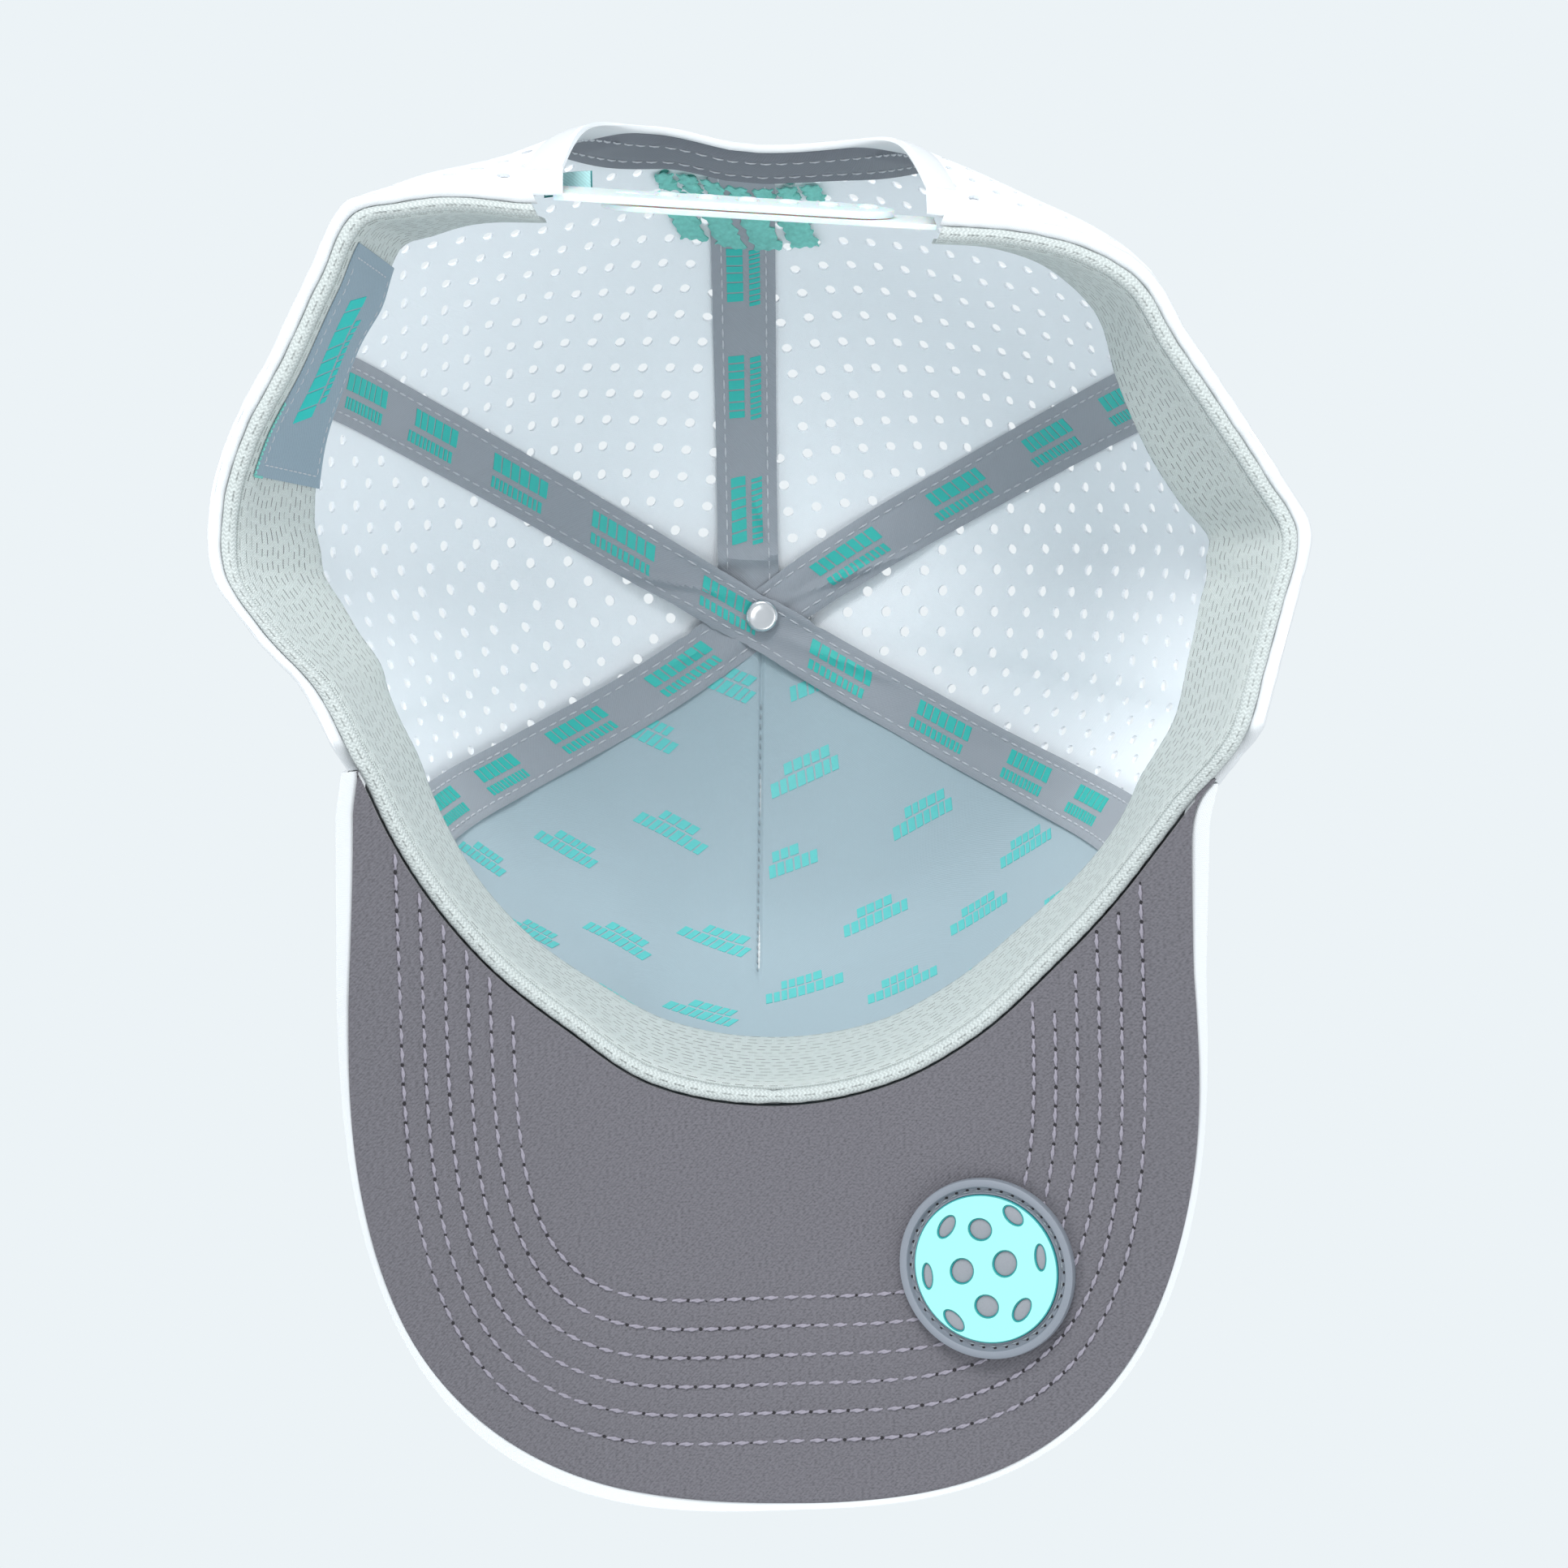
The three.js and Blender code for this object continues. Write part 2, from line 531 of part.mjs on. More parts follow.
// Raised stitching above the arch, and its backing inside.
function motif(depth, thick, halfAngle, fromQ, toQ) {
  const grid = (deep) => steps(90 + halfAngle, 90 - halfAngle, 6).map(
    (angle) => steps(fromQ, toQ, 2).map((q) => crown(angle, q, deep)));
  return layered(grid(depth), grid(depth + thick));
}
put('rear_embroidery', motif(-1, 0.6, 12.5, 0.565, 0.475), COLOURS.teal);
put('embroidery_backing', motif(rearDepth + TAPE + 1.0, 0.4, 12.5, 0.565, 0.475),
  COLOURS.teal);

// Covered button outside and the rivet that holds it from inside.
const buttonProfile = [[7.6, 0], [7.6, 0.9], [7.1, 2.4], [5.4, 4.1], [2.8, 5], [0.4, 5.2]];
function turned(rows, base, sides = 20) {
  return toSolid(tube(rows.map(([radius, z]) => steps(0, 360 - 360 / sides, sides - 1).map(
    (turn) => new THREE.Vector3(radius * Math.cos(turn * RAD), radius * Math.sin(turn * RAD),
      base + z)))));
}
const shaftTop = CROWN_TOP + 2.6;
put('top_button', fromSolid(turned(buttonProfile, CROWN_TOP + 0.25)
  .subtract(drum(1.65, CROWN_TOP - 1, shaftTop + 0.3))), COLOURS.shell);
const rivetTop = CROWN_TOP - upperDepth - TAPE - 0.75;
const rivetProfile = [[1.2, -1.7], [2.6, -1.45], [3.5, -0.9], [3.8, -0.3], [3.7, 0]];
put('button_rivet', fromSolid(turned(rivetProfile, rivetTop)
  .add(drum(1.35, rivetTop - 0.5, shaftTop))), COLOURS.metal, 0.3, 1);

export default group;
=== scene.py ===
"""Looks of the five-panel snapback cap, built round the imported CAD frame.

Shapes are worked out in millimetres in the row frame and turned into metres when a mesh is made.
"""

import math
import random

import bmesh
import bpy
import numpy as np
from mathutils import Matrix, Vector
from mathutils.geometry import delaunay_2d_cdt


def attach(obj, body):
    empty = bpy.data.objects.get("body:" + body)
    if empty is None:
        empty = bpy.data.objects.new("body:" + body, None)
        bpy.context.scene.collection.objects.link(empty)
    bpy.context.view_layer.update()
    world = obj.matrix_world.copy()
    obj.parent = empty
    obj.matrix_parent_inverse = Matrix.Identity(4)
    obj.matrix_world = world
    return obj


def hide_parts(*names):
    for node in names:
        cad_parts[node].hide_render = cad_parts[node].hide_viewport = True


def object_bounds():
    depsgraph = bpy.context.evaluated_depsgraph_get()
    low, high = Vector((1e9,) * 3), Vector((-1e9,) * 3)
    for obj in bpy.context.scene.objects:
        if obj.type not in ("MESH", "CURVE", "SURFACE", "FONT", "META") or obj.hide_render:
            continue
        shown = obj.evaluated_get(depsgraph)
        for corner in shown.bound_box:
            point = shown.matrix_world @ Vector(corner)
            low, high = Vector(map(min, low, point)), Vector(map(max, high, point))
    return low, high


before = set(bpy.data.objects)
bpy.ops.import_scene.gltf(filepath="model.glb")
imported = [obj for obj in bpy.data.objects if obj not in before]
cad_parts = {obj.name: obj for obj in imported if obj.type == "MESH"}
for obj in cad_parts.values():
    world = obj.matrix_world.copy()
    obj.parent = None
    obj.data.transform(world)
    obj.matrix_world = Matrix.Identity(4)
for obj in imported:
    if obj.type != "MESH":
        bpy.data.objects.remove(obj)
cad_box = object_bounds()

MM = 0.001
CROWN_TOP = 118.0
BRIM_RADIUS = 120.0
BRIM_TILT = 0.10
BRIM_Z = 12.0
BRIM_A = 77.9
BRIM_B = 102.4
BRIM_POWER = 2.6
BRIM_MIDDLE = -60.0
CORNERS = (-14.0, -163.4)
ARCH_HALF = 36.0
ARCH_TOP = 50.0
ARCH_POWER = 3.6
ARCH_TAPER = 0.24
TAPE_SEW = 4.4
CLOSURE = (65.0, 115.0)
SPOKES = (30, 90, 150, 210, 330)

# The same outlines as the CAD part: rows of angle in degrees and value in mm.
RIM = [
    [-90, 86.7], [-73.7, 84.8], [-61.2, 80.1], [-46.9, 77.5], [-34.8, 76.1], [-21.5, 75.7],
    [-13.9, 76.4], [-2.3, 81.3], [5, 91.2], [10.6, 99.2], [17.3, 102.1], [24.8, 102.7],
    [33.7, 102.5], [42.5, 105.4], [49.2, 109], [53.1, 105.3], [57, 101.3], [65, 92],
    [78, 84], [90, 80.5], [103, 81], [114.8, 84.7], [122.8, 89.8], [130.5, 94.7],
    [137.3, 97], [145, 95.1], [154.5, 95.8], [162.9, 98.4], [168.2, 100.9], [171, 99.8],
    [175.9, 95.5], [182.8, 91.1], [191.1, 88.1], [196.6, 84.9], [201.8, 82.2],
    [212.4, 80.1], [228.6, 80.1], [243.1, 83.3], [255, 85.8],
]
LEAN = [
    [-90, 4.8], [-72, 4.4], [-58, 2.4], [-40, 2], [-28, 3], [-14, 4.4], [-5, 5.2], [2, 9.2],
    [9.6, 12.4], [17, 11], [24, 8.6], [31, 6.2], [38, 5.2], [45, 6], [57, 2.5], [65, 0.6],
    [90, 0.3], [115, 0.3], [127, 0.8], [137, 4.3], [150, 9.3], [160, 11.2], [170, 10.2],
    [180, 8], [190, 6.6], [197, 4.6], [207, 1.4], [215, 0.9], [224, 1.6], [239, 3], [253, 3.9],
]
BULGE = [
    [-90, 1], [-60, 2], [-30, 5], [-14, 7], [0, 6], [10, -1], [20, -3], [35, 2], [49, 8],
    [57, 20], [65, 34], [80, 53], [90, 48], [103, 48], [115, 36], [123, 24], [135, 12],
    [145, 8], [155, 5], [165, -1], [172, -1], [182, 3], [195, 6], [210, 4], [240, 2],
]
RISE = [[-90, 42], [-30, 50], [0, 50], [15, 50], [50, 42], [90, 40], [130, 42], [165, 50],
        [180, 50], [210, 50]]
REACH = [[-90, 60], [-30, 66], [15, 68], [50, 68], [90, 62], [130, 68], [165, 68], [210, 66]]


# ---------------------------------------------------------------- shape of the cap
def around(rows):
    """Smooth closed curve through rows of [angle, value]."""
    count = len(rows)

    def at(index):
        turn, k = divmod(index, count)
        return rows[k][0] + 360.0 * turn, rows[k][1]

    def slope(index):
        before, after = at(index - 1), at(index + 1)
        return (after[1] - before[1]) / (after[0] - before[0])

    xs, ys = [], []
    for index in range(count):
        a, b = at(index), at(index + 1)
        width = b[0] - a[0]
        pieces = max(2, int(width / 0.4))
        for k in range(pieces):
            s = k / pieces
            s2, s3 = s * s, s * s * s
            xs.append(a[0] + s * width)
            ys.append(a[1] * (2 * s3 - 3 * s2 + 1) + b[1] * (3 * s2 - 2 * s3)
                      + slope(index) * width * (s3 - 2 * s2 + s)
                      + slope(index + 1) * width * (s3 - s2))
    xs, ys = np.array(xs), np.array(ys)
    return lambda angle: np.interp(angle, xs, ys, period=360)


rim_radius, lean, bulge = around(RIM), around(LEAN), around(BULGE)
rise, reach = around(RISE), around(REACH)


def ease(low, high, value):
    s = np.clip((value - low) / (high - low), 0, 1)
    return s * s * (3 - 2 * s)


def turn_from(angle, middle):
    """Signed turn in degrees from the middle angle, within half a turn."""
    return (np.asarray(angle, float) - middle + 180) % 360 - 180


def cosd(angle):
    return np.cos(np.radians(angle))


def sind(angle):
    return np.sin(np.radians(angle))


def polar(radius, angle, height):
    """Points at a radius, an angle in degrees and a height."""
    return np.stack([radius * cosd(angle), radius * sind(angle), height], -1)


def circle(count):
    """Evenly spaced turns round a full circle."""
    return np.linspace(0, 2 * math.pi, count, endpoint=False)


def round_loop(count, radius):
    """Flat points evenly round a circle."""
    turns = circle(count)
    return np.stack([np.cos(turns), np.sin(turns)], -1) * radius


def rotated(x, y, angle):
    """Flat coordinates turned by an angle in degrees."""
    c, s = math.cos(math.radians(angle)), math.sin(math.radians(angle))
    return x * c - y * s, x * s + y * c


def squarish(turn, power):
    """Places across and along an oval with square shoulders."""
    c, s = np.cos(turn), np.sin(turn)
    return np.sign(c) * np.abs(c) ** (2 / power), np.abs(s) ** (2 / power)


def unit(vectors):
    """Vectors scaled to a length of one."""
    return vectors / np.linalg.norm(vectors, axis=-1, keepdims=True)


def walk_along(path):
    """Distance walked from the start of a path to each of its points."""
    steps = np.linalg.norm(np.diff(path, axis=0), axis=1)
    return np.concatenate([[0], np.cumsum(steps)])


def read_at(places, walked, rows):
    """Rows of coordinates read at some distances along a path."""
    return np.stack([np.interp(places, walked, column) for column in rows.T], -1)


def brim_secant(x):
    return BRIM_RADIUS / np.sqrt(BRIM_RADIUS ** 2 - np.minimum(np.abs(x), 100) ** 2)


def brim_height(x, y):
    return BRIM_Z + BRIM_TILT * (y + 83) - (BRIM_RADIUS - BRIM_RADIUS / brim_secant(x))


def rim_height(angle):
    radius = rim_radius(angle)
    under = brim_height(radius * cosd(angle), radius * sind(angle))
    return under * (1 - ease(75, 106, np.abs(turn_from(angle, -90))))


def shell_foot(angle):
    on_brim = 1 - ease(76.5, 81, np.abs(turn_from(angle, -90)))
    return rim_height(angle) + 0.3 + on_brim * 3.7 * brim_secant(rim_radius(angle) * cosd(angle))


def profile(angle, q):
    """Radius and height of the outer shell; q is 1 at the foot and 0 at the button."""
    t = 1 - q
    foot_r, foot_z = rim_radius(angle) + 2.3, shell_foot(angle)
    w0, w1, w2, w3 = q ** 3, 3 * t * q * q, 3 * t * t * q, t ** 3
    radius = w0 * foot_r + w1 * (foot_r + bulge(angle)) + w2 * reach(angle)
    height = w0 * foot_z + w1 * (foot_z + rise(angle)) + (w2 + w3) * CROWN_TOP
    return radius, height


def ripple(u, v):
    """Gentle unevenness of sewn cloth, in mm."""
    return (0.22 * np.sin(10 * u + 4 * v + 0.5) * np.sin(9 * v - 3 * u + 1)
            + 0.12 * np.sin(22 * u - 7 * v + 2) * np.sin(19 * v + 5 * u))


def crown_raw(u, v):
    q = np.hypot(u, v)
    angle = np.degrees(np.arctan2(v, u))
    radius, height = profile(angle, q)
    safe = np.maximum(q, 1e-9)
    return np.stack([radius * u / safe, radius * v / safe, height], axis=-1)


def crown(angle, q, depth):
    """Points of the crown at a depth below the outer face, as an array of rows x, y, z."""
    angle, q, depth = np.broadcast_arrays(*(np.asarray(x, float) for x in (angle, q, depth)))
    u, v = q * cosd(angle), q * sind(angle)
    step = 1e-3
    along_u = crown_raw(u + step, v) - crown_raw(u - step, v)
    along_v = crown_raw(u, v + step) - crown_raw(u, v - step)
    normal = unit(np.cross(along_u, along_v))
    return crown_raw(u, v) - normal * (depth + ripple(u, v))[..., None]


def beside_spoke(angle, q, sideways):
    size = np.maximum(np.abs(q), 0.004)
    facing = np.where(q < 0, angle + 180, angle)
    shift = sideways * size / np.maximum(profile(facing, size)[0], 0.1)
    u = q * cosd(angle) - shift * sind(angle)
    v = q * sind(angle) + shift * cosd(angle)
    return np.degrees(np.arctan2(v, u)), np.hypot(u, v)


def spoke_table(angle):
    """Sizes q from foot to button and the length walked along the spoke."""
    q = np.linspace(1, 0, 201)
    radius, height = profile(np.full(201, float(angle)), q)
    return q, walk_along(np.stack([radius, height], -1))


class Unrolled:
    """Flat coordinates of a panel: a is sideways from its middle line, b is up from its foot."""

    def __init__(self, middle):
        self.middle = middle
        self.q, self.walked = spoke_table(middle)
        self.height = self.walked[-1]

    def to_disc(self, a, b):
        q = np.interp(b, self.walked, self.q)
        return beside_spoke(self.middle, q, a)

    def from_disc(self, angle, size):
        turn = np.radians(angle - self.middle)
        along = size * np.cos(turn)
        radius = profile(np.full_like(along, float(self.middle)), along)[0]
        a = size * np.sin(turn) * radius / along
        return np.stack([a, np.interp(-along, -self.q, self.walked)], axis=-1)


def find_on_rear(x, z):
    angle = np.degrees(np.arctan2(95.0, x))
    low = np.full_like(x, 0.3)
    for _ in range(12):
        low, high = np.full_like(x, 0.3), np.ones_like(x)
        for _ in range(30):
            middle = (low + high) / 2
            above = profile(angle, middle)[1] > z
            low, high = np.where(above, middle, low), np.where(above, high, middle)
        angle = np.degrees(np.arccos(np.clip(x / profile(angle, low)[0], -1, 1)))
    return angle, low


def arch_disc(turn, outset=0.0):
    """Angle and size of points on the arch edge, or outset from it."""
    across, part = squarish(turn, ARCH_POWER)
    across = across * (1 - ARCH_TAPER * part ** 0.6)
    return find_on_rear((ARCH_HALF + outset) * across, (ARCH_TOP + outset) * part)


# ---------------------------------------------------------------- making meshes
def build(name, points, faces, material, uv=None, body="cap", stands_for=(), slot=None,
          sharp=35):
    mesh = bpy.data.meshes.new(name)
    mesh.from_pydata((np.asarray(points, float) * MM).tolist(), [], faces)
    shape = bmesh.new()
    shape.from_mesh(mesh)
    if shape.calc_volume(signed=True) < 0:
        mesh.flip_normals()
    shape.free()
    mesh.polygons.foreach_set("use_smooth", [True] * len(mesh.polygons))
    mesh.set_sharp_from_angle(angle=math.radians(sharp))
    if uv is not None:
        layer = mesh.uv_layers.new(name="UVMap")
        corners = np.zeros(len(mesh.loops), int)
        mesh.loops.foreach_get("vertex_index", corners)
        layer.data.foreach_set("uv", np.asarray(uv, float)[corners].ravel())
    mesh.materials.append(material)
    thing = bpy.data.objects.new(name, mesh)
    bpy.context.scene.collection.objects.link(thing)
    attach(thing, body)
    if stands_for:
        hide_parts(*stands_for)
    return thing


def thicken(faces, count):
    """Closes a sheet of faces with a copy of itself, count points further on."""
    edges = set()
    for face in faces:
        edges.update(zip(face, face[1:] + face[:1]))
    walls = [(b, a, a + count, b + count) for a, b in edges if (b, a) not in edges]
    inner = [tuple(reversed([i + count for i in face])) for face in faces]
    return [tuple(face) for face in faces] + inner + walls


def grid_faces(rows, columns):
    return [[i * columns + j, (i + 1) * columns + j, (i + 1) * columns + j + 1,
             i * columns + j + 1] for i in range(rows - 1) for j in range(columns - 1)]


def slab(name, outer, inner, material, uv=None, **options):
    """Closed solid between two matching grids of points."""
    rows, columns = outer.shape[:2]
    count = rows * columns
    points = np.concatenate([outer.reshape(-1, 3), inner.reshape(-1, 3)])
    if uv is not None:
        uv = np.concatenate([uv.reshape(-1, 2)] * 2)
    return build(name, points, thicken(grid_faces(rows, columns), count), material, uv,
                 **options)


def ring_faces(rings, sides, first=0, closed=False):
    """Faces along a row of rings, with flat ends or closed round a loop."""
    faces = []
    for i in range(rings if closed else rings - 1):
        here, ahead = first + i * sides, first + (i + 1) % rings * sides
        for j in range(sides):
            k = (j + 1) % sides
            faces.append((here + j, ahead + j, ahead + k, here + k))
    if not closed:
        end = first + (rings - 1) * sides
        faces.append(tuple(range(first, first + sides)))
        faces.append(tuple(reversed(range(end, end + sides))))
    return faces


def tube(name, rings, material, uv=None, **options):
    rings = np.asarray(rings)
    if uv is not None:
        uv = uv.reshape(-1, 2)
    return build(name, rings.reshape(-1, 3), ring_faces(*rings.shape[:2]), material, uv,
                 **options)


def inside(points, outline):
    """Which points lie inside a closed outline."""
    x, y = points[:, 0:1], points[:, 1:2]
    x0, y0 = outline[:, 0], outline[:, 1]
    x1, y1 = np.roll(x0, -1), np.roll(y0, -1)
    crosses = (y0 > y) != (y1 > y)
    at = x0 + (y - y0) * (x1 - x0) / np.where(y1 == y0, 1e-9, y1 - y0)
    return (np.sum(crosses & (x < at), axis=1) % 2).astype(bool)


def fill(outline, loops, extra, is_hole):
    """Flat triangles inside an outline, round the loops, through the extra points."""
    edges, count = [], 0
    for loop in [outline, *loops]:
        sides = len(loop)
        edges += [(count + i, count + (i + 1) % sides) for i in range(sides)]
        count += sides
    points = [Vector(p) for p in np.concatenate([outline, *loops, extra])]
    found, _, faces = delaunay_2d_cdt(points, edges, [], 0, 1e-4)[:3]
    flat = np.array([(p.x, p.y) for p in found])
    centres = flat[np.array(faces)].mean(axis=1)
    keep = inside(centres, outline) & ~is_hole(centres)
    return flat, [list(face) for face, wanted in zip(faces, keep) if wanted]


def nearest(points, others):
    """Distance from each point to the nearest of the others."""
    parts = [points[i:i + 2000, None] - others[None] for i in range(0, len(points), 2000)]
    return np.concatenate([np.hypot(part[..., 0], part[..., 1]).min(axis=1) for part in parts])


def fill_round(outline, holes, radius, sides, extra):
    """Fills an outline and leaves round holes open."""
    rim = round_loop(sides, radius)

    def is_hole(centres):
        if not len(holes):
            return np.zeros(len(centres), bool)
        return nearest(centres, holes) <= radius * 0.93

    return fill(outline, [rim + hole for hole in holes], extra, is_hole)


def threads(name, runs, material, thick=0.24, sides=5, twist=0.11, **options):
    """Sewn stitches: each run is (points, normals, pitch, length) along a seam."""
    points, faces = [], []
    shape = np.array([0.3, 0.85, 1.0, 0.85, 0.3])
    along = np.array([-0.5, -0.38, 0.0, 0.38, 0.5])
    turns = circle(sides)
    for path, normals, pitch, length in runs:
        walked = walk_along(path)
        count = int(walked[-1] / pitch)
        for k in range(count):
            middle = (k + 0.5) * pitch + random.uniform(-0.06, 0.06) * pitch
            stations = middle + along * length
            centre, normal = (read_at(stations, walked, rows) for rows in (path, normals))
            ahead = (read_at(stations + 0.2, walked, path)
                     - read_at(stations - 0.2, walked, path))
            ahead /= np.linalg.norm(ahead, axis=1, keepdims=True) + 1e-9
            side = np.cross(normal, ahead)
            for ply in (-1, 1):
                phase = ply * math.pi / 2 + along * 5.0
                offset = side * (np.sin(phase) * twist)[:, None]
                lift = normal * ((np.cos(phase) * twist * 0.6)
                                 + thick * (0.75 - 1.3 * np.abs(along) ** 2 * 4))[:, None]
                first = len(points)
                for i in range(5):
                    ring = (centre[i] + offset[i] + lift[i]
                            + thick * shape[i] * (np.cos(turns)[:, None] * side[i]
                                                  + np.sin(turns)[:, None] * normal[i]))
                    points.extend(ring)
                faces += ring_faces(5, sides, first)
    return build(name, points, faces, material, sharp=80, **options)


def seam(surface, x, y, lift, pitch, length):
    """One sewn line on a surface: its points, directions, pitch and stitch length."""
    path = surface(x, y, lift)
    return path, surface(x, y, lift + 1) - path, pitch, length


def specks(name, places, normals, material, size=0.34, **options):
    """Small dark caps where a needle went through, their colour painted shade standing for the needle
    holes: low six-sided caps.
    """
    points, faces = [], []
    turns = circle(6)
    for place, normal in zip(places, normals):
        other = unit(np.cross(normal, [0.3, 0.5, 0.81]))
        third = np.cross(normal, other)
        first = len(points)
        for scale, lift in ((1.0, -0.15), (1.0, 0.03), (0.6, 0.07)):
            points.extend(place + normal * lift + size * scale * (
                np.cos(turns)[:, None] * other + np.sin(turns)[:, None] * third))
        faces += ring_faces(3, 6, first)
    return build(name, points, faces, material, **options)


def prints(name, spots, surface, material, mirror=1, **options):
    """Printed marks: slanted bars in two lines round each spot, raised a hair's breadth."""
    points, faces = [], []
    for x0, y0, turn, lines in spots:
        for bottom, top, first, last, wide in lines:
            x = first
            while x < last:
                w = wide * random.uniform(0.75, 1.25)
                px, py = np.meshgrid([x, x + w / 2, x + w], np.linspace(bottom, top, 5),
                                     indexing="ij")
                px, py = rotated(mirror * (px + 0.35 * py), py, turn)
                start = len(points)
                for lift in (0.10, -0.04):
                    points.extend(surface((x0 + px).ravel(), (y0 + py).ravel(), lift))
                bar = [[start + i for i in face] for face in grid_faces(3, 5)]
                faces += thicken(bar, 15)
                x += w + 0.42
    return build(name, points, faces, material, **options)


# ---------------------------------------------------------------- materials
class Graph:
    """A node material with short ways to add nodes."""

    def __init__(self, name):
        self.material = bpy.data.materials.new(name)
        self.material.use_nodes = True
        self.tree = self.material.node_tree
        self.shader = self.tree.nodes["Principled BSDF"]

    def add(self, kind, inputs=(), **settings):
        node = self.tree.nodes.new(kind)
        for key, value in settings.items():
            setattr(node, key, value)
        for place, value in inputs:
            if isinstance(value, bpy.types.NodeSocket):
                self.tree.links.new(value, node.inputs[place])
            else:
                node.inputs[place].default_value = value
        return node

    def math(self, operation, *values):
        return self.add("ShaderNodeMath", enumerate(values), operation=operation).outputs[0]

    def mix(self, factor, one, two):
        node = self.add("ShaderNodeMix", [(0, factor), (6, one), (7, two)], data_type="RGBA")
        return node.outputs[2]

    def noise(self, scale, detail=2.0, coordinates=None):
        if coordinates is None:
            coordinates = self.add("ShaderNodeTexCoord").outputs["Object"]
        node = self.add("ShaderNodeTexNoise", [("Vector", coordinates), ("Scale", scale),
                                               ("Detail", detail)])
        return node.outputs["Fac"]

    def flat(self):
        node = self.add("ShaderNodeUVMap", uv_map="UVMap")
        parts = self.add("ShaderNodeSeparateXYZ", [(0, node.outputs[0])])
        return parts.outputs[0], parts.outputs[1]

    def finish(self, colour, height=None, strength=0.3, distance=0.0002, **sockets):
        self.tree.links.new(colour, self.shader.inputs["Base Color"])
        if height is not None:
            bump = self.add("ShaderNodeBump", [("Height", height), ("Strength", strength),
                                               ("Distance", distance)])
            self.tree.links.new(bump.outputs[0], self.shader.inputs["Normal"])
        for name, value in sockets.items():
            self.shader.inputs[name.replace("_", " ")].default_value = value
        return self.material


def shade(colour, factor):
    return (colour[0] * factor, colour[1] * factor, colour[2] * factor, 1.0)


def woven(name, colour, thread=0.42, contrast=0.12, diagonal=False, roughness=0.85,
          sheen=0.25, strength=0.35, mottle=0.06, specular=0.3, fleck=0.0):
    """Plain or twill cloth from two crossing sets of threads in flat millimetres."""
    g = Graph(name)
    x, y = g.flat()
    rate = 2 * math.pi / thread
    if diagonal:
        slant = g.math("ADD", x, g.math("MULTIPLY", y, 1.0))
        ribs = g.math("SINE", g.math("MULTIPLY", slant, rate * 0.7))
        floats = g.math("SINE", g.math("MULTIPLY", g.math("SUBTRACT", x, y), rate * 1.6))
        weave = g.math("ADD", g.math("MULTIPLY", ribs, 0.7), g.math("MULTIPLY", floats, 0.3))
    else:
        weave = g.math("MULTIPLY", g.math("SINE", g.math("MULTIPLY", x, rate)),
                       g.math("SINE", g.math("MULTIPLY", y, rate)))
    weave = g.math("MULTIPLY_ADD", weave, 0.5, 0.5)
    patches = g.noise(45.0, 3.0)
    fibres = g.noise(2200.0, 1.0)
    if fleck:
        stretched = g.add("ShaderNodeCombineXYZ", [(0, g.math("MULTIPLY", x, 2.8)),
                                                   (1, g.math("MULTIPLY", y, 1.6))])
        floats = g.noise(1.0, 2.0, stretched.outputs[0])
        gain = fleck / contrast
        fibres = g.math("MULTIPLY_ADD", floats, gain, 0.5 - 0.5 * gain)
    factor = g.math("ADD", g.math("MULTIPLY", weave, contrast),
                    g.math("ADD", g.math("MULTIPLY", patches, mottle),
                           g.math("MULTIPLY", fibres, contrast * 0.6)))
    tone = g.mix(factor, shade(colour, 1.06), shade(colour, 0.45))
    return g.finish(tone, weave, strength, 0.00012, Roughness=roughness,
                    Sheen_Weight=sheen, Sheen_Roughness=0.5, Specular_IOR_Level=specular)


def knitted(name, colour, dashes=1.0, ribs=0.2, stitch=0.5):
    """Sweatband knit: fine ribs with broken rows of short dark dashes."""
    g = Graph(name)
    x, y = g.flat()
    bend = g.math("MULTIPLY", g.noise(55.0, 1.0), 0.45)
    row = g.math("ADD", g.math("DIVIDE", y, 1.75), bend)
    number = g.math("FLOOR", row)
    within = g.math("ABSOLUTE", g.math("SUBTRACT", g.math("FRACT", row), 0.5))
    line = g.math("LESS_THAN", within, 0.075)
    chance = g.math("FRACT", g.math("MULTIPLY", g.math("SINE", g.math("MULTIPLY", number, 12.9)),
                                    43.7))
    wobble = g.math("MULTIPLY", g.noise(180.0, 1.0), 0.9)
    dash = g.math("FRACT", g.math("ADD", g.math("DIVIDE", x, 3.1), g.math("ADD", chance, wobble)))
    dash = g.math("LESS_THAN", dash, 0.6)
    bold = g.math("MULTIPLY_ADD", chance, 0.7, g.math("MULTIPLY_ADD", g.noise(70.0, 1.0), 1.3, -0.15))
    dark = g.math("MULTIPLY", g.math("MULTIPLY", line, dash), g.math("MULTIPLY", bold, dashes))
    zig = g.math("PINGPONG", g.math("MULTIPLY", y, 1.0), 0.44)
    loops = g.math("SINE", g.math("MULTIPLY", g.math("ADD", x, zig), 2 * math.pi / stitch))
    loops = g.math("MULTIPLY_ADD", loops, 0.5, 0.5)
    fuzz = g.noise(1600.0, 2.0)
    factor = g.math("ADD", g.math("MULTIPLY", dark, 0.75),
                    g.math("ADD", g.math("MULTIPLY", loops, ribs), g.math("MULTIPLY", fuzz, 0.26)))
    tone = g.mix(factor, shade(colour, 1.12), shade(colour, 0.28))
    height = g.math("SUBTRACT", g.math("MULTIPLY", loops, 0.5), dark)
    return g.finish(tone, height, 0.7, 0.0003, Roughness=0.9, Sheen_Weight=0.15,
                    Sheen_Roughness=0.5, Specular_IOR_Level=0.2)


